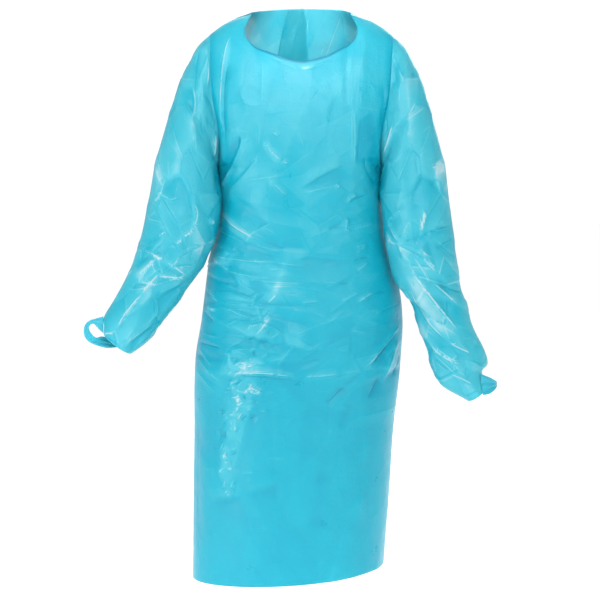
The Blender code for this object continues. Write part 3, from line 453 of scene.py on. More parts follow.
SLEEVE_CREASES_LEFT = (
    # from the shoulder down beside the armhole
    Crease(0.195, -0.070, 0.196, -0.105, 0.195, -0.138, 0.009, -0.0030, 0.0),
    Crease(0.214, -0.075, 0.220, -0.140, 0.222, -0.210, 0.008, 0.0026, 0.0),
    Crease(0.279, -0.298, 0.275, -0.299, 0.268, -0.301, 0.005, 0.0030, 0.0),
    Crease(0.279, -0.331, 0.274, -0.333, 0.268, -0.336, 0.005, -0.0024, 0.0),
    Crease(0.190, -0.445, 0.224, -0.448, 0.258, -0.441, 0.010, -0.0040, 0.0),
    Crease(0.212, -0.515, 0.248, -0.575, 0.288, -0.645, 0.013, 0.0030, 0.0),
    # the sleeve head and upper arm
    Crease(0.189, -0.210, 0.181, -0.243, 0.169, -0.283, 0.0040, 0.0024, 0.0),
    Crease(0.228, -0.106, 0.232, -0.112, 0.236, -0.118, 0.0040, -0.0030, 0.0),
    Crease(0.178, -0.413, 0.193, -0.397, 0.209, -0.383, 0.0040, 0.0022, 0.0),
    Crease(0.178, -0.413, 0.187, -0.432, 0.200, -0.453, 0.0035, 0.0024, 0.0),
    Crease(0.176, -0.431, 0.181, -0.445, 0.192, -0.457, 0.0040, 0.0024, 0.0),
    Crease(0.251, -0.387, 0.250, -0.412, 0.244, -0.442, 0.0040, 0.0035, 0.0),
    # the elbow
    Crease(0.246, -0.442, 0.271, -0.429, 0.317, -0.421, 0.0050, -0.0034, 0.0),
    Crease(0.277, -0.467, 0.294, -0.456, 0.317, -0.448, 0.0040, -0.0030, 0.0),
    Crease(0.239, -0.461, 0.252, -0.473, 0.262, -0.483, 0.0040, 0.0024, 0.0),
    # the forearm
    Crease(0.230, -0.515, 0.275, -0.574, 0.326, -0.639, 0.0040, 0.0046, 0.0),
    Crease(0.271, -0.535, 0.296, -0.558, 0.326, -0.585, 0.0050, 0.0040, 0.0),
    Crease(0.281, -0.539, 0.311, -0.551, 0.344, -0.563, 0.0040, -0.0032, 0.0),
    Crease(0.339, -0.549, 0.345, -0.567, 0.347, -0.586, 0.0040, -0.0020, 0.0),
    Crease(0.221, -0.540, 0.260, -0.609, 0.305, -0.659, 0.0050, 0.0026, 0.0),
    Crease(0.305, -0.659, 0.328, -0.672, 0.353, -0.684, 0.0050, 0.0042, 0.0),
    Crease(0.256, -0.647, 0.291, -0.687, 0.334, -0.704, 0.0045, 0.0026, 0.0),
    Crease(0.276, -0.696, 0.289, -0.707, 0.307, -0.719, 0.0040, -0.0022, 0.0),
    Crease(0.308, -0.726, 0.330, -0.733, 0.357, -0.749, 0.0040, 0.0024, 0.0),
    Crease(0.380, -0.742, 0.392, -0.752, 0.399, -0.759, 0.0050, 0.0050, 0.0),
    Crease(0.387, -0.740, 0.395, -0.747, 0.404, -0.752, 0.0040, 0.0030, 0.0),
)

# Flat places of the film: the corners of one, seen from the front or the back. Its first
# sides, as many as sharp says, are folds and the others fade. depth is how far it lies out,
# and tone how much lighter it is drawn: a painted highlight where above 0 and a painted
# shade where below.
Plane = namedtuple("Plane", "corners sharp depth tone")
PLANE_FOLD, PLANE_FADE = 0.002, 0.014  # reach of a side that is a fold, and of another
FRONT_PLANES = (
    Plane((
        (0.153, -0.181), (0.120, -0.204), (0.112, -0.294), (0.158, -0.300),
        (0.165, -0.241),
    ), 2, -0.0014, -0.22),
    Plane((
        (0.092, -0.294), (0.044, -0.314), (-0.003, -0.344), (0.020, -0.352),
        (0.075, -0.339), (0.115, -0.327),
    ), 2, -0.0010, -0.08),
    Plane((
        (-0.124, -0.232), (-0.127, -0.265), (-0.150, -0.309), (-0.172, -0.358),
        (-0.173, -0.313), (-0.154, -0.249),
    ), 3, -0.0014, -0.15),
    Plane((
        (-0.087, -0.273), (-0.117, -0.313), (-0.156, -0.356), (-0.144, -0.324),
        (-0.119, -0.292),
    ), 2, -0.0008, -0.08),
    Plane((
        (-0.165, -0.397), (-0.140, -0.423), (-0.155, -0.459), (-0.183, -0.449),
    ), 1, -0.0012, -0.15),
    Plane((
        (-0.184, -0.490), (-0.155, -0.515), (-0.132, -0.554), (-0.179, -0.541),
    ), 2, -0.0012, -0.13),
    Plane((
        (-0.203, -0.567), (-0.175, -0.587), (-0.186, -0.599), (-0.203, -0.592),
    ), 1, -0.0010, -0.10),
    Plane((
        (-0.204, -0.607), (-0.181, -0.626), (-0.188, -0.669), (-0.211, -0.664),
    ), 1, -0.0010, -0.12),
    Plane((
        (0.151, -0.695), (0.173, -0.677), (0.184, -0.715), (0.152, -0.738),
    ), 2, -0.0010, -0.16),
    Plane((
        (0.206, -0.661), (0.210, -0.697), (0.196, -0.743), (0.187, -0.712),
    ), 1, -0.0010, -0.10),
    Plane((
        (0.163, -0.738), (0.141, -0.782), (0.159, -0.783), (0.178, -0.751),
    ), 1, -0.0008, -0.08),
    # Painted highlights with no height: the broad glossy bands over the hip and down the
    # skirt.
    Plane((
        (-0.058, -0.480), (-0.020, -0.470), (-0.048, -0.600), (-0.100, -0.690),
        (-0.128, -0.680), (-0.085, -0.590),
    ), 0, 0.0, 0.12),
    Plane((
        (-0.118, -0.680), (-0.070, -0.690), (-0.095, -0.790), (-0.140, -0.980),
        (-0.178, -0.960), (-0.158, -0.780),
    ), 0, 0.0, 0.16),
    # Painted highlight: the pale triangle under the neckline, lifted a little.
    Plane((
        (-0.008, -0.090), (0.006, -0.103), (0.034, -0.089), (0.009, -0.085),
    ), 2, 0.0004, 0.36),
)
SLEEVE_PLANES_RIGHT = (
    Plane((
        (-0.224, -0.134), (-0.219, -0.177), (-0.225, -0.202), (-0.246, -0.190),
        (-0.246, -0.130),
    ), 2, -0.0012, -0.14),
    # Painted highlight with no height.
    Plane((
        (-0.264, -0.159), (-0.249, -0.155), (-0.246, -0.196), (-0.266, -0.200),
    ), 0, 0.0, 0.12),
    Plane((
        (-0.343, -0.488), (-0.306, -0.485), (-0.319, -0.507), (-0.358, -0.528),
    ), 1, -0.0012, -0.16),
    Plane((
        (-0.299, -0.490), (-0.265, -0.504), (-0.233, -0.528), (-0.281, -0.519),
    ), 2, -0.0008, -0.14),
    Plane((
        (-0.237, -0.533), (-0.298, -0.560), (-0.300, -0.620), (-0.261, -0.571),
    ), 2, -0.0008, -0.12),
    Plane((
        (-0.303, -0.623), (-0.368, -0.673), (-0.350, -0.681), (-0.313, -0.647),
    ), 1, -0.0008, -0.12),
)
SLEEVE_PLANES_LEFT = (
    Plane((
        (0.162, -0.134), (0.181, -0.124), (0.181, -0.177), (0.167, -0.243),
    ), 4, -0.0008, -0.18),
    Plane(((0.189, -0.083), (0.195, -0.120), (0.210, -0.089)), 1, -0.0006, -0.14),
    Plane((
        (0.275, -0.292), (0.290, -0.286), (0.293, -0.309), (0.275, -0.323),
    ), 4, 0.0008, 0.20),
    Plane((
        (0.262, -0.291), (0.288, -0.280), (0.290, -0.286), (0.273, -0.298),
    ), 2, -0.0008, -0.14),
    Plane((
        (0.290, -0.348), (0.299, -0.334), (0.300, -0.344), (0.293, -0.356),
    ), 3, 0.0008, 0.28),
    Plane((
        (0.281, -0.347), (0.290, -0.346), (0.295, -0.362), (0.288, -0.366),
    ), 2, -0.0008, -0.15),
    Plane((
        (0.251, -0.387), (0.258, -0.406), (0.248, -0.426), (0.244, -0.442),
        (0.245, -0.412),
    ), 5, 0.0008, 0.28),
    Plane((
        (0.246, -0.440), (0.279, -0.425), (0.317, -0.419), (0.301, -0.435),
        (0.254, -0.453),
    ), 1, -0.0010, -0.12),
    Plane((
        (0.230, -0.515), (0.326, -0.639), (0.305, -0.659), (0.221, -0.540),
    ), 1, 0.0008, 0.12),
    Plane((
        (0.221, -0.542), (0.305, -0.661), (0.292, -0.693), (0.256, -0.647),
        (0.228, -0.577),
    ), 1, -0.0008, -0.12),
    Plane((
        (0.271, -0.535), (0.298, -0.556), (0.329, -0.588), (0.313, -0.579),
        (0.283, -0.551),
    ), 3, 0.0008, 0.24),
    Plane((
        (0.281, -0.539), (0.344, -0.563), (0.347, -0.583), (0.326, -0.588),
        (0.300, -0.564),
    ), 1, -0.0008, -0.10),
    Plane((
        (0.351, -0.677), (0.372, -0.656), (0.374, -0.670), (0.367, -0.686),
    ), 2, -0.0008, -0.16),
)

# Crumpled stretches of film: cells about spacing across, drawn out that many times
# along run (degrees from level), each tilted its own way and a little lighter or
# darker, in a box seen from the front (x away from the body on a sleeve, and height).
Net = namedtuple("Net", "seed spacing run drawn tilt tone x0 x1 z0 z1")
FRONT_NETS = (
    Net(5, 0.050, 70, 1.8, 0.026, 0.026, -0.17, 0.17, -0.40, -0.07),
    Net(6, 0.032, -12, 2.8, 0.080, 0.050, -0.24, 0.02, -0.74, -0.36),
    Net(7, 0.035, 14, 2.4, 0.042, 0.024, -0.02, 0.24, -0.76, -0.36),
    Net(8, 0.045, 4, 2.8, 0.026, 0.018, -0.24, 0.22, -0.86, -0.68),
    Net(9, 0.050, 82, 3.4, 0.016, 0.018, -0.26, 0.22, -1.20, -0.76),
)
BACK_NETS = (
    Net(15, 0.050, 80, 1.8, 0.070, 0.050, -0.20, 0.20, -0.42, 0.04),
    Net(16, 0.034, 0, 2.8, 0.090, 0.055, -0.24, 0.24, -0.74, -0.36),
    Net(17, 0.080, 76, 2.2, 0.070, 0.045, -0.26, 0.22, -1.20, -0.70),
)
SLEEVE_NETS = (
    Net(25, 0.034, 76, 2.2, 0.080, 0.055, 0.15, 0.34, -0.50, -0.04),
    Net(26, 0.028, -50, 2.2, 0.090, 0.055, 0.17, 0.43, -0.80, -0.44),
)
SLEEVE_NETS_BEHIND = (
    Net(35, 0.036, 76, 2.2, 0.100, 0.060, 0.15, 0.34, -0.50, -0.04),
    Net(36, 0.030, -50, 2.2, 0.110, 0.060, 0.17, 0.43, -0.80, -0.44),
)
CELL_FOLD = 0.0022  # half width of the fold where two cells meet
NET_EDGE = 0.03  # over which a net comes in at the sides of its box
NET_SHARP = 5.0  # strength of its folds, and of their painted highlight and shade lines, for each unit of its tilt

# Where small random creases lie: a count, a box seen from the front (x and height),
# the way most of them run in degrees from level, how far that varies, the range of
# their lengths, and the range of their heights.
Field = namedtuple("Field", "count x0 x1 z0 z1 run vary shortest longest low high")
FRONT_FIELDS = (
    Field(16, -0.15, 0.15, -0.38, -0.10, 60, 60, 0.010, 0.050, 0.0004, 0.0010),
    Field(30, -0.20, -0.02, -0.70, -0.40, -12, 22, 0.015, 0.070, 0.0006, 0.0018),
    Field(22, 0.02, 0.20, -0.72, -0.40, 14, 26, 0.015, 0.060, 0.0005, 0.0015),
    Field(16, -0.12, 0.12, -0.80, -0.66, 4, 16, 0.020, 0.080, 0.0005, 0.0014),
    Field(14, -0.22, 0.18, -1.14, -0.80, 70, 50, 0.015, 0.060, 0.0003, 0.0009),
    # the glossy band over the hip and down the skirt
    Field(50, -0.155, -0.070, -0.82, -0.68, 40, 60, 0.006, 0.022, 0.0016, 0.0036),
    Field(44, -0.172, -0.125, -0.98, -0.80, 65, 50, 0.005, 0.018, 0.0014, 0.0032),
    Field(26, -0.105, -0.050, -0.68, -0.56, 50, 30, 0.008, 0.030, 0.0014, 0.0030),
)
BACK_FIELDS = (
    Field(30, -0.16, 0.16, -0.40, -0.04, 60, 60, 0.010, 0.050, 0.0004, 0.0012),
    Field(50, -0.20, 0.20, -0.72, -0.40, 0, 30, 0.015, 0.070, 0.0005, 0.0016),
    Field(30, -0.20, 0.18, -1.14, -0.72, 70, 50, 0.015, 0.060, 0.0003, 0.0009),
)
SLEEVE_FIELDS = (
    Field(22, 0.18, 0.31, -0.46, -0.10, 75, 45, 0.012, 0.050, 0.0005, 0.0014),
    Field(24, 0.20, 0.36, -0.64, -0.44, -45, 30, 0.012, 0.055, 0.0006, 0.0018),
    Field(12, 0.26, 0.40, -0.76, -0.60, -40, 30, 0.010, 0.040, 0.0005, 0.0014),
)

# How finely the pieces are divided.
LOWER_ROWS = np.concatenate(
    [np.linspace(HEM_HEIGHT, -0.823, 60), np.linspace(-0.820, -0.303, 188)]
)
UPPER_ROWS = np.linspace(0.0, 1.0, 84)
FRONT_COLUMNS = 144
BACK_LOWER_ROWS = np.concatenate(
    [np.linspace(HEM_HEIGHT, -0.766, 52), np.linspace(-0.760, -0.304, 96)]
)
BACK_UPPER_ROWS = np.linspace(0.0, 1.0, 66)
BACK_COLUMNS = 84
SLEEVE_ROWS = 200
SLEEVE_COLUMNS = 112
LOOP_ROWS, LOOP_COLUMNS = 110, 23
LOOP_THICKNESS = 2  # times the other pieces' that a thumb loop is drawn with
TIE_ROWS, TIE_COLUMNS = 150, 15
KNOT_ROWS, KNOT_COLUMNS = 34, 64

# The stage. A lamp's power is in watts and its beam in degrees; the one called neck
# has a narrow beam, which lights the inside of the back through the neckline.
Lamp = namedtuple("Lamp", "name place target width height power beam")
LAMPS = (
    Lamp("key", (-0.4, -2.9, 1.15), (0, 0, -0.55), 2.2, 1.2, 52.0, 180),
    Lamp("strip", (-2.3, -2.0, -0.55), (0, 0, -0.7), 0.35, 1.3, 26.0, 180),
    Lamp("fill", (1.3, -3.0, 0.3), (0, 0, -0.5), 1.6, 1.6, 22.0, 180),
    Lamp("back", (0.6, 3.2, 1.0), (0, 0, -0.5), 2.4, 2.4, 130.0, 180),
    Lamp("neck", (0.0, -1.1, 0.80), (0, 0.07, -0.02), 0.30, 0.30, 0.30, 14),
)
WORLD_LIGHT, WORLD_IN_GLOSS = 1.04, 0.56
FLOOR_HALF = 14.0
CAMERA_PLACE = (0.0, -3.6, -0.15)
CAMERA_TARGET = (-0.002, 0.0, -0.586)
CAMERA_SENSOR, CAMERA_LENS = 36.0, 102.2


# ---- arithmetic -------------------------------------------------------------------


def column(rows, name):
    """One named column of a table."""
    return np.array([getattr(row, name) for row in rows])


def blend_curve(low, leave, high, arrive, t):
    """A cubic from low to high that sets off along leave and comes in along arrive."""
    return (
        low * (1 + 2 * t) * (1 - t) ** 2
        + leave * t * (1 - t) ** 2
        + high * t**2 * (3 - 2 * t)
        - arrive * t**2 * (1 - t)
    )


def through(knots, values, at):
    """Cubic Hermite curve through values at rising knots, read at the places given."""
    values = np.asarray(values, float)
    slopes = np.gradient(values, knots, axis=0)
    low = np.clip(np.searchsorted(knots, at) - 1, 0, len(knots) - 2)
    span = knots[low + 1] - knots[low]
    t = np.clip((at - knots[low]) / span, 0.0, 1.0)
    if values.ndim > np.ndim(knots):
        extra = (Ellipsis,) + (None,) * (values.ndim - 1)
        span, t = span[extra], t[extra]
    leave, arrive = slopes[low] * span, slopes[low + 1] * span
    return blend_curve(values[low], leave, values[low + 1], arrive, t)


def read(rows, name, heights):
    """A column of a table that is ordered downwards, at the heights given."""
    knots = column(rows, "height")[::-1]
    return through(knots, column(rows, name)[::-1], heights)


def part_way(points, share):
    """Places at shares of the length of a smooth curve through a few points."""
    points = np.array(points)
    steps = np.linalg.norm(np.diff(points[:, :3], axis=0), axis=1)
    knots = np.concatenate([[0.0], np.cumsum(steps)])
    return through(knots, points, share * knots[-1])


def evenly(points, count):
    """count points, evenly spaced along a smooth curve through a few points."""
    return part_way(points, np.linspace(0.0, 1.0, count))


def ease(value, start, end):
    """0 before start, 1 after end, and a smooth step between them."""
    t = np.clip((value - start) / (end - start), 0.0, 1.0)
    return t * t * (3 - 2 * t)


def normals(grid):
    """Unit normals of a grid of points, rows by columns."""
    along = np.gradient(grid, axis=0)
    across = np.gradient(grid, axis=1)
    found = np.cross(across, along)
    return found / np.linalg.norm(found, axis=2, keepdims=True)


def crease_field(creases, x, z):
    """Height of all creases, and the nearest fine one: how far off it runs, and how
    strong it is, from -1 in a trough to 1 on a ridge.

    Each crease is a parabola through its three places, cut into short straight runs;
    a point's distance d from the nearest run gives the height
    rise * exp(-(d / width)^1.4) + step * tanh(side / width) * exp(-(d / 5 width)^2),
    times a smooth step in and out along the run."""
    total, strong = np.zeros_like(x), np.zeros_like(x)
    line = np.full_like(x, LINE_REACH)
    for c in creases:
        t = np.linspace(0.0, 1.0, CREASE_PLACES)[:, None]
        a, b, e = ((c.x0, c.z0), (c.x1, c.z1), (c.x2, c.z2))
        run = (
            np.array(a) * (1 - t) * (1 - 2 * t)
            + np.array(b) * 4 * t * (1 - t)
            + np.array(e) * t * (2 * t - 1)
        )
        reach = c.width * (STEP_REACH if c.step else CREASE_REACH)
        low, high = run.min(axis=0) - reach, run.max(axis=0) + reach
        near = (x > low[0]) & (x < high[0]) & (z > low[1]) & (z < high[1])
        point = np.stack([x[near], z[near]], axis=-1)[:, None]
        start, way = run[:-1], np.diff(run, axis=0)
        share = ((point - start) * way).sum(-1) / (way**2).sum(-1)
        share = np.clip(share, 0.0, 1.0)
        off = point - (start + share[..., None] * way)
        far = np.hypot(off[..., 0], off[..., 1])
        best = far.argmin(axis=1)
        pick = (np.arange(len(best)), best)
        side = way[best, 0] * off[pick][:, 1] - way[best, 1] * off[pick][:, 0]
        side = np.sign(side) * far[pick]
        along = (best + share[pick]) / len(way)
        ends = ease(along, 0.0, CREASE_ENDS) * (1 - ease(along, 1 - CREASE_ENDS, 1.0))
        ridge = c.rise * np.exp(-((far[pick] / c.width) ** 1.4))
        fold = c.step * np.tanh(side / c.width)
        fold = fold * np.exp(-((side / (5 * c.width)) ** 2))
        total[near] += ends * (ridge + fold)
        if c.width < FINE_WIDTH:
            nearer = np.abs(side) < np.abs(line[near])
            line[near] = np.where(nearer, side, line[near])
            sharp = ends * np.clip(c.rise / FULL_RISE, -1.0, 1.0)
            strong[near] = np.where(nearer, sharp, strong[near])
    return total, line, strong


def small_creases(fields, seed, crumple, side=1):
    """Rows of small creases scattered over the fields, slightly bowed, about a third of
    them troughs, with lengths and heights drawn evenly from each field's ranges."""
    rng = np.random.default_rng(seed)
    made = []
    for f in fields:
        middle_x = side * rng.uniform(f.x0, f.x1, f.count)
        middle_z = rng.uniform(f.z0, f.z1, f.count)
        way = np.radians(f.run + rng.uniform(-f.vary, f.vary, f.count))
        half = rng.uniform(f.shortest, f.longest, f.count) / 2
        dx, dz = np.cos(way) * half, side * np.sin(way) * half
        bow = rng.uniform(-SMALL_BOW, SMALL_BOW, f.count)
        rise = crumple * rng.uniform(f.low, f.high, f.count)
        rise = rise * np.where(rng.random(f.count) < TROUGH_SHARE, -1, 1)
        width = rng.uniform(*SMALL_WIDTHS, f.count)
        rows = np.stack(
            [
                middle_x - dx,
                middle_z - dz,
                middle_x + bow * dz,
                middle_z - bow * dx,
                middle_x + dx,
                middle_z + dz,
                width,
                rise,
                0 * rise,
            ],
            axis=-1,
        )
        made += [Crease(*row) for row in rows]
    return tuple(made)


def plane_field(planes, x, z):
    """Height and tone of the flat places: depth and tone times, for each side of the
    polygon, a smooth step in the distance inside it, short where the side is a fold."""
    height, tone = np.zeros_like(x), np.zeros_like(x)
    for plane in planes:
        corners = np.array(plane.corners)
        middle = corners.mean(axis=0)
        inside = np.ones_like(x)
        for number, start in enumerate(corners):
            way = corners[(number + 1) % len(corners)] - start
            way /= np.hypot(*way)
            side = way[0] * (z - start[1]) - way[1] * (x - start[0])
            inner = way[0] * (middle[1] - start[1]) - way[1] * (middle[0] - start[0])
            fade = PLANE_FOLD if number < plane.sharp else PLANE_FADE
            inside = inside * ease(side * np.sign(inner), -PLANE_FOLD, fade)
        height += plane.depth * inside
        tone += plane.tone * inside
    return height, tone


def net_field(net, x, z):
    """Height, tone, nearest fold and its strength in a crumpled stretch.

    Each point belongs to the nearest of some scattered middles, lengths along the run
    counting for less, so cells have straight sides. A cell's height is its tilt times
    the way from its middle; heights and tones are averaged with the weights
    exp(-(distance from a middle less that from the nearest) / CELL_FOLD)."""
    rng = np.random.default_rng(net.seed)
    low, high = (net.x0, net.z0), (net.x1, net.z1)
    room = (net.x1 - net.x0) * (net.z1 - net.z0)
    count = 4 + int(room / (net.spacing**2 * net.drawn))
    middles = rng.uniform(low, high, (count, 2))
    tilts = rng.normal(0.0, net.tilt, (count, 2))
    tones = rng.normal(0.0, net.tone, count)
    folds = rng.uniform(-1.0, 1.0, (count, count))
    folds = np.clip(0.9 * (folds + folds.T) - 0.1, -1.0, 1.0)
    near = (x > net.x0) & (x < net.x1) & (z > net.z0) & (z < net.z1)
    px, pz = x[near], z[near]
    angle = np.radians(net.run)
    turned = np.array([[np.cos(angle), -np.sin(angle)], [np.sin(angle), np.cos(angle)]])
    off = (np.stack([px, pz], -1)[:, None] - middles) @ turned / (net.drawn, 1.0)
    far = np.hypot(off[..., 0], off[..., 1])
    first, second = np.argsort(far, axis=1)[:, :2].T
    pick = np.arange(len(far))
    weight = np.exp(-(far - far[pick, first][:, None]) / CELL_FOLD)
    weight /= weight.sum(axis=1, keepdims=True)
    soft = np.ones_like(px)
    for place, start, end in ((px, net.x0, net.x1), (pz, net.z0, net.z1)):
        soft = soft * ease(place, start, start + NET_EDGE)
        soft = soft * (1 - ease(place, end - NET_EDGE, end))
    apart = off[pick, first] - off[pick, second]
    apart = np.maximum(np.hypot(apart[:, 0], apart[:, 1]), 1e-6)
    edge = (far[pick, second] ** 2 - far[pick, first] ** 2) / (2 * apart)
    found = [np.zeros_like(x) for _ in range(4)]
    found[2] += LINE_REACH
    found[0][near] = soft * ((off * tilts).sum(-1) * weight).sum(1)
    found[1][near] = soft * (tones * weight).sum(1)
    found[2][near] = np.where(first < second, edge, -edge)
    found[3][near] = soft * folds[first, second]
    return found


def relief(marks, x, z, crumple, side=1):
    """Everything laid on a form: its height, and the tone and folds for its film. side
    turns the nets over for the right sleeve."""
    creases, planes, nets = marks
    height, line, strong = crease_field(creases, x, z)
    flat, tone = plane_field(planes, x, z)
    height = height + flat
    for net in nets:
        more = net_field(net, side * x, z)
        height += crumple * more[0]
        tone += crumple * more[1]
        nearer = np.abs(more[2]) < np.abs(line)
        line = np.where(nearer, more[2], line)
        sharp = NET_SHARP * net.tilt * crumple * more[3]
        strong = np.where(nearer, sharp, strong)
    return height, tone, line, strong


# ---- surfaces ---------------------------------------------------------------------


def body_point(turn, height):
    """Body below the underarms: half ellipses ahead and behind, from BODY.

    turn is 0 at centre front and rises towards the wearer's left."""
    right = read(BODY, "right", height)
    left = read(BODY, "left", height)
    front = read(BODY, "front", height)
    back = read(BODY, "back", height)
    low = ease(-height, -TILT_STARTS, -HEM_HEIGHT)
    x = (left - right) / 2 + (left + right) / 2 * np.sin(turn)
    y = -np.where(np.cos(turn) > 0, front, back) * np.cos(turn)
    y = y * (1 + HEM_SKEW * low * np.sin(turn))
    return np.stack([x, y, height + HEM_TILT * low * x], axis=-1)


def turn_of(across, facing):
    """Turn of a place across the front (facing -1) or the back (facing 1), where
    across runs from -1 at the wearer's right side seam to 1 at their left one."""
    return across * np.pi / 2 if facing < 0 else np.pi - across * np.pi / 2


def top_edge(across, facing):
    """Neckline, a smooth curve through its places, and the shoulder seams beyond it."""
    share = (np.clip(across / NECK_SHARE, -1, 1) + 1) / 2
    neck = part_way(NECK_FRONT if facing < 0 else NECK_BACK, share)
    shoulder = np.where(across[..., None] < 0, SHOULDER_RIGHT, SHOULDER_LEFT)
    beyond = np.clip((np.abs(across) - NECK_SHARE) / (1 - NECK_SHARE), 0, 1)
    points = neck + beyond[..., None] * (shoulder - neck)
    points[..., 2] += SHOULDER_CROWN * np.sin(np.pi * beyond)
    return points


def armhole_edge(side, rise, facing):
    """Half an ellipse from the underarm (rise 0) to the shoulder point (rise 1)."""
    bottom = body_point(np.array(side * np.pi / 2), np.array(UNDERARM))
    top = np.array(SHOULDER_RIGHT if side < 0 else SHOULDER_LEFT)
    angle = np.pi * (1 - rise)[..., None]
    out = np.array([0.0, facing * ARMHOLE_DEPTH, 0.0])
    bend = np.array([-side * ARMHOLE_IN, 0.0, 0.0]) * ease(-np.cos(angle), -0.2, 0.7)
    middle = (bottom + top) / 2 + (top - bottom) / 2 * np.cos(angle)
    return middle + (out + bend) * np.sin(angle)


def rounded_edge(across, facing):
    """The top edge, each point a weighted mean over its neighbours, which rounds the
    corner between the neckline and the shoulder seam."""
    steps = np.linspace(-1.0, 1.0, 9)
    weights = np.cos(steps * np.pi / 2.2)
    edges = [top_edge(across + CORNER_REACH * step, facing) for step in steps]
    return np.tensordot(weights / weights.sum(), edges, axes=1)


def upright(across, rise, facing):
    """Curves from the section at the underarms over the chest to the rounded top edge,
    drawn onto the true one only close to it, by the sixth power of the rise."""
    turn = turn_of(across, facing)
    low = body_point(turn, np.full_like(turn, UNDERARM))
    side = ease(np.abs(across), 0.05, 0.75)
    none = np.zeros_like(across)
    swell = facing * (SWELL + SWELL_SIDES * side)
    leave = np.stack([none, swell, RISE + RISE_SIDES * side], -1)
    lean = LEAN_FRONT if facing < 0 else LEAN_BACK
    full = np.exp(-(((np.abs(across) - NECK_SHARE) / SHOULDER_WIDTH) ** 2))
    lean = lean + (LEAN_SIDES - lean) * side + SHOULDER_FULL * full
    arrive = np.stack([none, -facing * lean, RISE_IN * (1 - side)], -1)
    high, rise = rounded_edge(across, facing), rise[..., None]
    drawn = (top_edge(across, facing) - high) * rise**6
    return blend_curve(low, leave, high, arrive, rise) + drawn


def drawn_in(points):
    """Points above the neckline's widest level, moved towards the neck beside it."""
    aside = np.abs(points[..., 0])
    share = np.exp(-(((aside - NECK_HALF) / NECK_FADE) ** 2))
    share = share * ease(points[..., 2], NECK_WIDEST, NECK_TOP)
    points[..., 0] *= 1 - NECK_IN * share / np.maximum(aside, NECK_FADE)
    return points


def yoke_point(across, rise, facing):
    """Body above the underarms: the upright curves, drawn sideways onto the edges of
    the armholes."""
    points = upright(across, rise, facing)
    for side in (-1, 1):
        edge = armhole_edge(side, rise, facing)
        pull = ease(side * across, 0.1, 1.0)[..., None]
        points += pull * (edge - upright(np.full_like(across, side), rise, facing))
    return drawn_in(points)


def spread(start, end, columns):
    """Places across a panel, evenly from start to end in each of its rows."""
    share = np.linspace(0.0, 1.0, columns)
    return start[:, None] * (1 - share) + end[:, None] * share


def panel_grid(across, lower_rows, upper_rows, facing):
    """Points of a body panel at its places across the body, in rows from the hem to
    the underarms and on to the top edge."""
    lower, upper = np.split(across, [len(lower_rows)])
    heights = lower_rows[:, None] + 0 * lower
    rises = upper_rows[:, None] + 0 * upper
    body = body_point(turn_of(lower, facing), heights)
    return np.concatenate([body, yoke_point(upper, rises, facing)])


def creased_panel(across, rows, marks, facing, crumple, by=0.0):
    """A panel's points moved out along its normals by its creases, which die away at
    its side seams and, on the back, where the ties hold it, with what the film's
    material needs to know of them at each point."""
    grid = panel_grid(across, *rows, facing)
    out = normals(grid) * -facing
    height, tone, line, strong = relief(marks, grid[..., 0], grid[..., 2], crumple)
    if facing < 0:
        free = 1 - ease(np.abs(across), *FRONT_DIES)
        # Painted shade where the panel turns away at its sides.
        tone = tone - EDGE_SHADE * ease(np.abs(across), *EDGE_FROM)
    else:
        free = 1 - ease(np.abs(across), *BACK_DIES)
        held = ease(np.abs(across), *LAP_FLAT)
        held = np.maximum(held, 1 - ease(np.abs(height), *LAP_HOLDS))
        free = free * held * ease(np.abs(grid[..., 2] - TIE_HEIGHT), *TIE_FLAT)
    free[-TOP_ROWS:] *= np.linspace(1.0, 0.0, TOP_ROWS)[:, None]
    grid = grid + out * (height * free + by)[..., None]
    grid[..., 1] += facing * SEAM / 2
    # Painted shade from the waist down.
    tone = tone - SKIRT_SHADE * ease(-grid[..., 2], *SKIRT_FROM)
    # Painted highlight on ridges and painted shade in troughs.
    tone = tone + np.clip(CREASE_SHADING * height * free, *CREASE_SHADING_RANGE)
    return grid, {"tone": tone, "line": line, "strong": strong * free}


def sleeve_grid(rings, side):
    """Points of a sleeve: a tube from the armhole's edge through its rings. side is
    -1 on the wearer's right. A row starts at the outer edge and goes by the front."""
    angle = np.linspace(0.0, 2 * np.pi, SLEEVE_COLUMNS, endpoint=False)
    rise = 1 - np.minimum(angle, 2 * np.pi - angle) / np.pi
    front = armhole_edge(side, rise, -1)
    back = armhole_edge(side, rise, 1)
    armhole = np.where((angle < np.pi)[:, None], front, back)
    armhole[:, 0] += side * SEAM
    outer = np.stack([side * column(rings, "outer_x"), column(rings, "outer_z")], -1)
    inner = np.stack([side * column(rings, "inner_x"), column(rings, "inner_z")], -1)
    flat = (outer + inner)[:, None] / 2
    flat = flat + (outer - inner)[:, None] / 2 * np.cos(angle)[:, None]
    deep = column(rings, "depth")[:, None] * np.sin(angle)
    y = column(rings, "middle_y")[:, None] - deep
    tube = np.stack([flat[..., 0], y, flat[..., 1]], axis=-1)
    points = np.concatenate([armhole[None], tube])
    knots = np.arange(len(points), dtype=float)
    return through(knots, points, np.linspace(0.0, knots[-1], SLEEVE_ROWS))


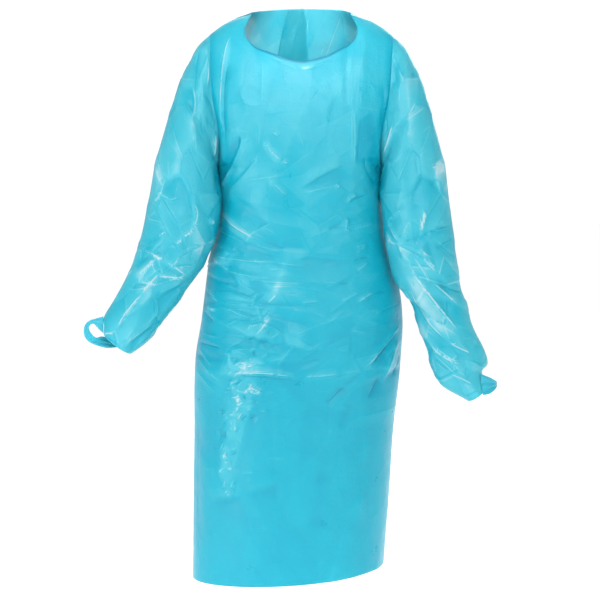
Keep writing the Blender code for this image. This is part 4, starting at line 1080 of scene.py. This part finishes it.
def creased_sleeve(rings, side, ahead, behind, crumple):
    """A sleeve's points moved out by its creases: one set where it faces forwards and
    another behind, easing into each other at its edges."""
    grid = sleeve_grid(rings, side)
    middle = grid.mean(axis=1, keepdims=True)
    wrapped = np.concatenate([grid[:, -1:], grid, grid[:, :1]], axis=1)
    out = normals(wrapped)[:, 1:-1]
    inward = ((grid - middle) * out).sum(axis=2, keepdims=True) < 0
    out = np.where(inward, -out, out)
    forwards = ease(-out[..., 1], *SLEEVE_TURN)
    x, z = grid[..., 0], grid[..., 2]
    one, two = (relief(marks, x, z, crumple, side) for marks in (ahead, behind))
    down = np.arange(len(grid))[:, None]
    cuff = len(grid)
    free = 1 - ease(down, cuff - SLEEVE_CUFF, cuff + SLEEVE_CUFF_PAST)
    free = free * ease(down, 0, SLEEVE_TOP)
    height = free * (one[0] * forwards + two[0] * (1 - forwards))
    tone = one[1] * forwards + two[1] * (1 - forwards)
    # Painted highlight on ridges and painted shade in troughs.
    tone = tone + np.clip(CREASE_SHADING * height, *CREASE_SHADING_RANGE)
    # Painted shade towards the edges, where the sleeve turns away.
    tone = tone - EDGE_SHADE * (1 - ease(np.abs(out[..., 1]), 0.0, SLEEVE_EDGE))
    line = np.where(forwards > 0.5, one[2], two[2])
    strong = np.where(forwards > 0.5, one[3], two[3])
    strong = free * strong * np.abs(2 * forwards - 1)
    grid = grid + out * height[..., None]
    return grid, {"tone": tone, "line": line, "strong": strong}


def strip_grid(path, aside, columns):
    """Points across a strip at each point of its path, aside being the vectors from
    its middle to one edge."""
    share = np.linspace(-1.0, 1.0, columns)[:, None]
    return path[:, None] + share * aside[:, None]


def loop_grid(places, pleats):
    """A thumb loop: a strip between its two edges, moved out by a share of its half
    width times a parabola across it, a slanting sine wave, the pleats, and another
    sine wave along its run."""
    first, last = np.split(evenly(places, LOOP_ROWS), 2, axis=1)
    aside = (last - first) / 2
    grid = strip_grid((first + last) / 2, aside, LOOP_COLUMNS)
    wide, down = np.linspace(-1, 1, LOOP_COLUMNS), np.linspace(0, 1, LOOP_ROWS)[:, None]
    wave = 0.5 * wide**2 + pleats * np.sin(8 * wide + 5 * down) + 0.3 * np.sin(21 * down)
    half = np.linalg.norm(aside, axis=1, keepdims=True)
    return grid + normals(grid) * (LOOP_DEPTH * half * wave)[..., None]


def tie_grid(places, seed):
    """A tie lying on the back: places on its panels, moved out clear of them, with
    fine lengthwise pleats: two sine waves across it that drift along its run."""
    path = evenly(places, TIE_ROWS)
    run = np.gradient(path, axis=0)
    aside = np.stack([-run[:, 1], run[:, 0]], axis=-1)
    aside *= TIE_HALF_WIDTH / np.linalg.norm(aside, axis=1, keepdims=True)
    around, height = np.moveaxis(strip_grid(path, aside, TIE_COLUMNS), 2, 0)
    across = around / BACK_HALF_ROUND
    points = body_point(turn_of(across, 1), height)
    lift = TIE_CLEAR + LAP_GAP * ease(-across, *TIE_STEP) * ease(across, *LAP_RISES)
    drift = np.random.default_rng(seed).uniform(0, 2 * np.pi, 3)
    down = np.linspace(0, 1, TIE_ROWS)[:, None]
    wide = np.linspace(-1, 1, TIE_COLUMNS)
    pleats = np.sin(5 * wide + drift[0] + 3 * down)
    pleats = pleats + 0.6 * np.sin(9 * wide + drift[1] - 7 * down)
    lift = lift + TIE_PLEAT * (1 + 0.5 * pleats)
    return points + normals(points) * lift[..., None]


def knot_grid():
    """The knot: a flattened ball with three wraps of film round it, whose grooves run
    slantwise: the radius is 1 - 0.16 |cos(1.5 (turn + slant))|^0.7, eased at the
    poles."""
    turn = np.linspace(0.0, 2 * np.pi, KNOT_COLUMNS, endpoint=False)[None]
    tip = np.linspace(-np.pi / 2, np.pi / 2, KNOT_ROWS)[:, None]
    slant = 0.9 * np.sin(tip)
    wraps = np.abs(np.cos(1.5 * (turn + slant))) ** 0.7
    radius = 1 - 0.16 * wraps * np.cos(tip)
    x = KNOT_HALF[0] * radius * np.sin(tip)
    y = KNOT_HALF[1] * radius * np.cos(tip) * np.cos(turn)
    z = KNOT_HALF[2] * radius * np.cos(tip) * np.sin(turn)
    middle = body_point(np.array(np.pi), np.array(KNOT_HEIGHT))
    middle[1] += KNOT_LIFT + KNOT_HALF[1]
    return middle + np.stack([x + 0 * turn, y, z], axis=-1)


# ---- film -------------------------------------------------------------------------


def linear(code):
    """An sRGB hex colour as linear values."""
    value = np.array([int(code[i : i + 2], 16) / 255 for i in (1, 3, 5)])
    value = np.where(value <= 0.04045, value / 12.92, ((value + 0.055) / 1.055) ** 2.4)
    return tuple(value.tolist())


def add_node(tree, kind, output, inputs=None, **settings):
    """Adds a node, sets its properties, gives its inputs a value or a link, and hands
    back one of its outputs."""
    node = tree.nodes.new(kind)
    for name, value in settings.items():
        setattr(node, name, value)
    for name, value in (inputs or {}).items():
        socket = node.inputs[name]
        if isinstance(value, bpy.types.NodeSocket):
            tree.links.new(value, socket)
        else:
            socket.default_value = value
    return node.outputs[output]


def calculate(tree, operation, *values):
    """The result of an operation on numbers."""
    inputs = dict(enumerate(values))
    return add_node(tree, "ShaderNodeMath", "Value", inputs, operation=operation)


def mapped(tree, value, **limits):
    """A number moved from one range to another, as in from_min=0.3 and to_max=0.42."""
    inputs = {key.replace("_", " ").title(): limit for key, limit in limits.items()}
    return add_node(tree, "ShaderNodeMapRange", "Result", {"Value": value, **inputs})


def noise(tree, place, output, **settings):
    """Smooth noise, as one number (Fac) or three (Color)."""
    inputs = {key.title(): value for key, value in settings.items()}
    return add_node(tree, "ShaderNodeTexNoise", output, {"Vector": place, **inputs})


def bump(tree, height, strength, distance, **below):
    """A normal tilted by a height, on top of the bumps below it."""
    inputs = {"Height": height, "Strength": strength, "Distance": distance, **below}
    return add_node(tree, "ShaderNodeBump", "Normal", inputs)


def set_ramp(socket, stops):
    """Gives the colour ramp behind a socket its stops, as positions and colours."""
    elements = socket.node.color_ramp.elements
    while len(elements) < len(stops):
        elements.new(0.5)
    for element, (position, colour) in zip(elements, stops):
        element.position, element.color = position, (*colour, 1.0)


def polyethylene_film(name, colours, painted_light=0.0, through=0.6, gloss=0.38):
    """Blown polyethylene film, about 0.05 mm, heat sealed: slightly see-through, with
    a soft gloss.

    Its colour is drawn deeper in troughs, at its sides, from the waist down and along the
    neckline's rim, all painted shade, though light passing the film more than once deepens
    troughs too; it is drawn paler on ridges and on some flat places, a painted highlight.
    Along its sharpest creases a fine line is drawn whitish, partly the film whitening where
    a crease stretches it and partly a painted glint, over a painted shade. Soft crumples a
    few centimetres across break up its gloss; its fine embossing, under 1 mm, is drawn about
    4 mm wide so that it shows."""
    material = bpy.data.materials.new(name)
    material.use_nodes = True
    tree = material.node_tree
    shader = tree.nodes["Principled BSDF"]
    place = add_node(tree, "ShaderNodeTexCoord", "Object")
    rise, run, strong = (
        add_node(tree, "ShaderNodeAttribute", "Fac", attribute_name=key)
        for key in ("tone", "line", "strong")
    )

    # Cloudiness of the film, in patches about 50 mm across.
    cloud = noise(tree, place, "Fac", scale=20.0, detail=4.0, roughness=0.6)
    # The pieces drawn paler get a painted light here, which raises the whole tone.
    tone = mapped(tree, cloud, to_min=0.34 + painted_light, to_max=0.62 + painted_light)
    # The attribute read as rise is the tone: painted shade in troughs, at the sides, from
    # the waist down and along the neckline's rim, painted highlights on ridges and some flat
    # places, and the crumples' cells a little lighter or darker at random.
    tone = calculate(tree, "ADD", tone, rise)

    # A fold's fine line, a painted highlight over a painted shade: 2 mm wide, with a weaker
    # one 3 mm below.
    run = mapped(tree, run, from_min=-0.006, from_max=0.006)
    bright = add_node(tree, "ShaderNodeValToRGB", "Color", {"Fac": run})
    steps = ((0.0, 0.31), (0.12, 0.31), (0.28, 0.0), (0.42, 0.31))
    steps += ((0.52, 1.0), (0.64, 0.31), (1.0, 0.31))
    set_ramp(bright, [(position, (grey,) * 3) for position, grey in steps])
    # A grey of 0.31 comes out as 0 and leaves the film as it is.
    line = calculate(tree, "MULTIPLY_ADD", bright, 1.45, -0.45)
    line = calculate(tree, "MULTIPLY", line, strong)
    tone = calculate(tree, "MULTIPLY_ADD", line, 0.55, tone)
    shade = add_node(tree, "ShaderNodeValToRGB", "Color", {"Fac": tone})
    # The rim and deep stops are painted shade, the pale and stretched stops painted
    # highlights, the last also film whitened by stretching.
    stops = ((0.0, colours.rim_shade), (0.10, colours.deep), (0.40, colours.film))
    set_ramp(shade, stops + ((0.68, colours.pale), (1.0, colours.stretch_and_glint)))
    tree.links.new(shade, shader.inputs["Base Color"])

    # Crumples: cells about 30 mm across whose edges are drawn out of line by noise.
    wander = noise(tree, place, "Color", scale=30.0, detail=2.0)
    bent = add_node(
        tree,
        "ShaderNodeVectorMath",
        "Vector",
        {0: wander, 1: (0.020, 0.020, 0.020), 2: place},
        operation="MULTIPLY_ADD",
    )
    cells = add_node(
        tree,
        "ShaderNodeTexVoronoi",
        "Distance",
        {"Vector": bent, "Scale": 34.0},
        feature="F1",
    )
    # The square of the distance is smooth at the middle of a cell too.
    cells = calculate(tree, "MULTIPLY", cells, cells)
    crumple = bump(tree, cells, 0.20, 0.005)
    # Fine crinkle and embossing.
    crinkle = noise(tree, bent, "Fac", scale=220.0, detail=3.0, distortion=1.2)
    crinkle = bump(tree, crinkle, 0.5, 0.0011, Normal=crumple)
    ridge = bump(tree, line, 0.8, 0.0012, Normal=crinkle)
    tree.links.new(ridge, shader.inputs["Normal"])

    # Handling leaves the gloss uneven.
    rough = mapped(tree, cloud, from_min=0.3, from_max=0.7, to_min=0.27, to_max=0.42)
    tree.links.new(rough, shader.inputs["Roughness"])
    shader.inputs["IOR"].default_value = 1.51
    # The tint keeps the film's gloss from greying where it turns away. Real film
    # reflects without a tint.
    shader.inputs["Specular IOR Level"].default_value = gloss
    shader.inputs["Specular Tint"].default_value = (0.80, 0.95, 1.0, 1.0)
    shader.inputs["Subsurface Weight"].default_value = through
    shader.inputs["Subsurface Radius"].default_value = (1.0, 1.0, 1.0)
    shader.inputs["Subsurface Scale"].default_value = 0.002
    return material


def film_object(name, grid, creased, thickness, materials, closed=False):
    """A film piece through a grid of points, as quads, with the values that its
    material reads on its points and its wall from Solidify. materials are that of its
    outer face and, where it differs, that of its inner one. closed joins the last
    column to the first."""
    rows, columns = grid.shape[:2]
    index = np.arange(rows * columns, dtype=np.int32).reshape(rows, columns)
    if closed:
        index = np.concatenate([index, index[:, :1]], axis=1)
    quads = np.stack(
        [index[:-1, :-1], index[:-1, 1:], index[1:, 1:], index[1:, :-1]], axis=-1
    ).reshape(-1, 4)
    mesh = bpy.data.meshes.new(name)
    mesh.vertices.add(rows * columns)
    mesh.vertices.foreach_set("co", grid.astype(np.float32).ravel())
    mesh.loops.add(quads.size)
    mesh.loops.foreach_set("vertex_index", quads.ravel())
    mesh.polygons.add(len(quads))
    mesh.polygons.foreach_set("loop_start", np.arange(0, quads.size, 4, dtype=np.int32))
    mesh.update(calc_edges=True)
    mesh.validate()
    mesh.shade_smooth()
    for key, values in creased.items():
        layer = mesh.attributes.new(key, "FLOAT", "POINT")
        layer.data.foreach_set("value", values.astype(np.float32).ravel())
    for material in materials:
        mesh.materials.append(material)
    piece = bpy.data.objects.new(name, mesh)
    bpy.context.scene.collection.objects.link(piece)
    wall = piece.modifiers.new("Wall", "SOLIDIFY")
    wall.thickness = thickness
    wall.offset = 0.0
    wall.material_offset = len(materials) - 1
    return piece


def turned(grid, creased):
    """A grid and what is known at its points, with the columns in the other order, so
    that its faces look the other way."""
    return grid[:, ::-1], {key: values[:, ::-1] for key, values in creased.items()}


def plain(grid):
    """What the film's material needs to know where there are no creases."""
    none = np.zeros(grid.shape[:2])
    return {"tone": none, "line": none + LINE_REACH, "strong": none}


def finish_piece(piece, node):
    """Lets a piece stand for its solid and ride with it."""
    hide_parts(node)
    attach(piece, "root")


def aimed(name, data, place, target):
    """A lamp or a camera at its place, turned towards its target."""
    holder = bpy.data.objects.new(name, data)
    holder.location = place
    way = Vector(target) - holder.location
    holder.rotation_euler = way.to_track_quat("-Z", "Y").to_euler()
    bpy.context.scene.collection.objects.link(holder)
    return holder


# ---- settings ---------------------------------------------------------------------


class ApronSizes(PropertyGroup):
    """Sizes that a user would change."""

    thickness: FloatProperty(
        name="Film thickness",
        description="Thickness that the film is drawn with",
        default=0.0004,
        min=0.0001,
        max=0.001,
        unit="LENGTH",
    )
    crumple: FloatProperty(
        name="Crumple",
        description="Height of the small creases, as a share of the usual",
        default=1.0,
        min=0.0,
        max=2.0,
        subtype="FACTOR",
    )
    floor_drop: FloatProperty(
        name="Floor",
        description="Height of the floor below the neckline's sides",
        default=-1.46,
        unit="LENGTH",
    )


def colour_setting(name, description, code):
    """A colour that a user would change, with an sRGB hex colour as its default."""
    return FloatVectorProperty(
        name=name,
        description=description,
        default=linear(code),
        subtype="COLOR",
        min=0.0,
        max=1.0,
    )


class ApronColours(PropertyGroup):
    """Colours that a user would change."""

    film: colour_setting("Film", "Colour of the film where it lies plain", "#0892A6")
    # Painted shade along the front neckline's rim.
    rim_shade: colour_setting(
        "Rim", "Colour of the film's heaviest edge, along the neckline", "#00708A"
    )
    # Painted shade in the troughs.
    deep: colour_setting("Deep", "Colour of the film in its troughs", "#00849C")
    # Painted highlight on the ridges and on some flat places.
    pale: colour_setting("Pale", "Colour of the film on its ridges", "#3A9EAE")
    # Partly film whitened where a sharp crease stretches it, partly a painted glint.
    stretch_and_glint: colour_setting(
        "Stretched", "Colour of the film where a sharp crease has stretched it", "#95B6BE"
    )
    floor: colour_setting("Floor", "Colour of the floor", "#FFFFFF")


# ---- operators --------------------------------------------------------------------


class APRON_OT_front(Operator):
    """Makes the front panel"""

    bl_idname = "apron.front"
    bl_label = "Front panel"

    def execute(self, context):
        sizes, colours = context.scene.apron_sizes, context.scene.apron_colours
        side = np.ones(len(LOWER_ROWS) + len(UPPER_ROWS))
        across = spread(-side, side, FRONT_COLUMNS)
        small = small_creases(FRONT_FIELDS, 11, sizes.crumple)
        marks = (FRONT_CREASES + small, FRONT_PLANES, FRONT_NETS)
        rows = (LOWER_ROWS, UPPER_ROWS)
        grid, creased = creased_panel(across, rows, marks, -1, sizes.crumple)
        # Painted shade along the neckline's rim, in the top rows of the front.
        rim_shade = 1 - ease(np.abs(across[-1]), NECK_SHARE, NECK_SHARE + RIM_FADE)
        tone = creased["tone"][-RIM_ROWS:]
        creased["tone"][-RIM_ROWS:] = tone * (1 - rim_shade) + RIM_SHADE * rim_shade
        material = polyethylene_film("polyethylene_film_front", colours)
        piece = film_object("front_film", grid, creased, sizes.thickness, [material])
        finish_piece(piece, "front")
        return {"FINISHED"}


class APRON_OT_backs(Operator):
    """Makes the two back panels, the right one lapping over the left one"""

    bl_idname = "apron.backs"
    bl_label = "Back panels"

    def execute(self, context):
        sizes, colours = context.scene.apron_sizes, context.scene.apron_colours
        top = LAPS[0].height
        heights = UNDERARM + BACK_UPPER_ROWS * (top - UNDERARM)
        heights = np.concatenate([BACK_LOWER_ROWS, heights])
        side = np.ones_like(heights)
        rows = (BACK_LOWER_ROWS, BACK_UPPER_ROWS)
        small = small_creases(BACK_FIELDS, 23, sizes.crumple)
        marks = (BACK_CREASES + small, (), BACK_NETS)
        crumple = sizes.crumple
        # The inner face, seen through the neckline, is drawn paler, a painted light against
        # the shade in there, and nearly without gloss, so that it stays blue in that shade.
        materials = [
            polyethylene_film("polyethylene_film_back", colours, 0.0, through=0.3),
            polyethylene_film(
                "polyethylene_film_inside", colours, 0.15, through=0.42, gloss=0.12
            ),
        ]

        inner = spread(-read(LAPS, "inner", heights), side, BACK_COLUMNS)
        grid, creased = turned(*creased_panel(inner, rows, marks, 1, crumple))
        piece = film_object("back_left_film", grid, creased, sizes.thickness, materials)
        finish_piece(piece, "back_left")

        outer = spread(-side, read(LAPS, "outer", heights), BACK_COLUMNS)
        clear = LAP_GAP * ease(outer, *LAP_RISES)
        grid, creased = creased_panel(outer, rows, marks, 1, crumple, by=clear)
        grid, creased = turned(grid, creased)
        piece = film_object("back_right_film", grid, creased, sizes.thickness, materials)
        finish_piece(piece, "back_right")
        return {"FINISHED"}


class APRON_OT_sleeves(Operator):
    """Makes the two sleeves, each one tube of film"""

    bl_idname = "apron.sleeves"
    bl_label = "Sleeves"

    def execute(self, context):
        sizes, colours = context.scene.apron_sizes, context.scene.apron_colours
        crumple = sizes.crumple
        # The sleeves are drawn paler, a painted light, as though lit more from the sides.
        material = polyethylene_film("polyethylene_film_sleeve", colours, painted_light=0.10)
        for name, rings, side, creases, planes, seed in (
            ("sleeve_right", RINGS_RIGHT, -1, SLEEVE_CREASES_RIGHT, SLEEVE_PLANES_RIGHT, 31),
            ("sleeve_left", RINGS_LEFT, 1, SLEEVE_CREASES_LEFT, SLEEVE_PLANES_LEFT, 47),
        ):
            ahead = creases + small_creases(SLEEVE_FIELDS, seed, crumple, side)
            behind = small_creases(SLEEVE_FIELDS * 3, seed + 1, crumple, side)
            marks = (ahead, planes, SLEEVE_NETS), (behind, (), SLEEVE_NETS_BEHIND)
            grid, creased = creased_sleeve(rings, side, *marks, crumple)
            if side > 0:
                grid, creased = turned(grid, creased)
            piece = film_object(
                name + "_film", grid, creased, sizes.thickness, [material], closed=True
            )
            finish_piece(piece, name)
        return {"FINISHED"}


class APRON_OT_thumb_loops(Operator):
    """Makes the two thumb loops at the cuffs"""

    bl_idname = "apron.thumb_loops"
    bl_label = "Thumb loops"

    def execute(self, context):
        sizes, colours = context.scene.apron_sizes, context.scene.apron_colours
        # The loops are drawn a little paler, a painted light, as where light passes through
        # the film.
        material = polyethylene_film("polyethylene_film_loop", colours, painted_light=0.05)
        for name, grid in (
            ("thumb_loop_right", loop_grid(LOOP_RIGHT, 0.4)),
            ("thumb_loop_left", loop_grid(LOOP_LEFT, 0.9)),
        ):
            thickness = LOOP_THICKNESS * sizes.thickness
            piece = film_object(name + "_film", grid, plain(grid), thickness, [material])
            finish_piece(piece, name)
        return {"FINISHED"}


class APRON_OT_ties(Operator):
    """Makes the waist ties and their knot at centre back"""

    bl_idname = "apron.ties"
    bl_label = "Waist ties"

    def execute(self, context):
        sizes, colours = context.scene.apron_sizes, context.scene.apron_colours
        material = polyethylene_film("polyethylene_film_tie", colours)
        grid = knot_grid()
        knot = film_object(
            "tie_knot_film", grid, plain(grid), sizes.thickness, [material], closed=True
        )
        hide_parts("tie_knot")
        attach(knot, "root")
        for name, places, seed in (
            ("tie_right", TIE_RIGHT, 3),
            ("tie_left", TIE_LEFT, 5),
        ):
            grid = tie_grid(places, seed)
            thickness = sizes.thickness
            piece = film_object(name + "_film", grid, plain(grid), thickness, [material])
            finish_piece(piece, name)
        return {"FINISHED"}


class APRON_OT_stage(Operator):
    """Makes the pale floor, the studio light and the camera"""

    bl_idname = "apron.stage"
    bl_label = "Stage"

    def execute(self, context):
        scene = context.scene
        sizes, colours = scene.apron_sizes, scene.apron_colours

        half = FLOOR_HALF
        corners = [(-half, -half), (half, -half), (half, half), (-half, half)]
        mesh = bpy.data.meshes.new("floor")
        points = [(x, y, sizes.floor_drop) for x, y in corners]
        mesh.from_pydata(points, [], [(0, 1, 2, 3)])
        floor = bpy.data.objects.new("floor", mesh)
        scene.collection.objects.link(floor)
        paper = bpy.data.materials.new("matt_white_paper")
        paper.use_nodes = True
        shader = paper.node_tree.nodes["Principled BSDF"]
        shader.inputs["Base Color"].default_value = (*colours.floor, 1.0)
        shader.inputs["Roughness"].default_value = 0.9
        mesh.materials.append(paper)

        world = bpy.data.worlds.new("studio")
        world.use_nodes = True
        background = world.node_tree.nodes["Background"]
        background.inputs["Color"].default_value = (1.0, 1.0, 1.0, 1.0)
        # The world lights the pieces at one strength and shows in their gloss at a
        # lower one, which a real studio can't do. It keeps the gloss from whitening.
        tree = world.node_tree
        glossy = add_node(tree, "ShaderNodeLightPath", "Is Glossy Ray")
        strength = mapped(tree, glossy, to_min=WORLD_LIGHT, to_max=WORLD_IN_GLOSS)
        tree.links.new(strength, background.inputs["Strength"])
        scene.world = world

        for lamp in LAMPS:
            light = bpy.data.lights.new(lamp.name, "AREA")
            light.shape = "RECTANGLE"
            light.size, light.size_y = lamp.width, lamp.height
            light.energy = lamp.power
            light.spread = np.radians(lamp.beam)
            aimed(lamp.name, light, lamp.place, lamp.target)

        lens = bpy.data.cameras.new("camera")
        lens.sensor_width, lens.lens = CAMERA_SENSOR, CAMERA_LENS
        scene.camera = aimed("camera", lens, CAMERA_PLACE, CAMERA_TARGET)
        scene.view_settings.view_transform = "Standard"
        return {"FINISHED"}


class APRON_PT_pieces(Panel):
    """Lists the apron's settings and pieces"""

    bl_label = "Sleeved apron"
    bl_idname = "APRON_PT_pieces"
    bl_space_type = "VIEW_3D"
    bl_region_type = "UI"
    bl_category = "Apron"

    def draw(self, context):
        for group in (context.scene.apron_sizes, context.scene.apron_colours):
            for name in group.__annotations__:
                self.layout.prop(group, name)
        for operator in OPERATORS:
            self.layout.operator(operator.bl_idname)


OPERATORS = (
    APRON_OT_front,
    APRON_OT_backs,
    APRON_OT_sleeves,
    APRON_OT_thumb_loops,
    APRON_OT_ties,
    APRON_OT_stage,
)
CLASSES = (ApronSizes, ApronColours, *OPERATORS, APRON_PT_pieces)


def register():
    """Registers the classes and hangs the settings on the scene."""
    for made in CLASSES:
        bpy.utils.register_class(made)
    bpy.types.Scene.apron_sizes = PointerProperty(type=ApronSizes)
    bpy.types.Scene.apron_colours = PointerProperty(type=ApronColours)


def unregister():
    """Takes the settings and the classes away again."""
    del bpy.types.Scene.apron_sizes
    del bpy.types.Scene.apron_colours
    for made in reversed(CLASSES):
        bpy.utils.unregister_class(made)


def main():
    """Makes every piece and the stage."""
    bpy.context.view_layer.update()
    register()
    for operator in OPERATORS:
        group, name = operator.bl_idname.split(".")
        getattr(getattr(bpy.ops, group), name)()
    bpy.context.view_layer.update()


if __name__ == "__main__":
    main()
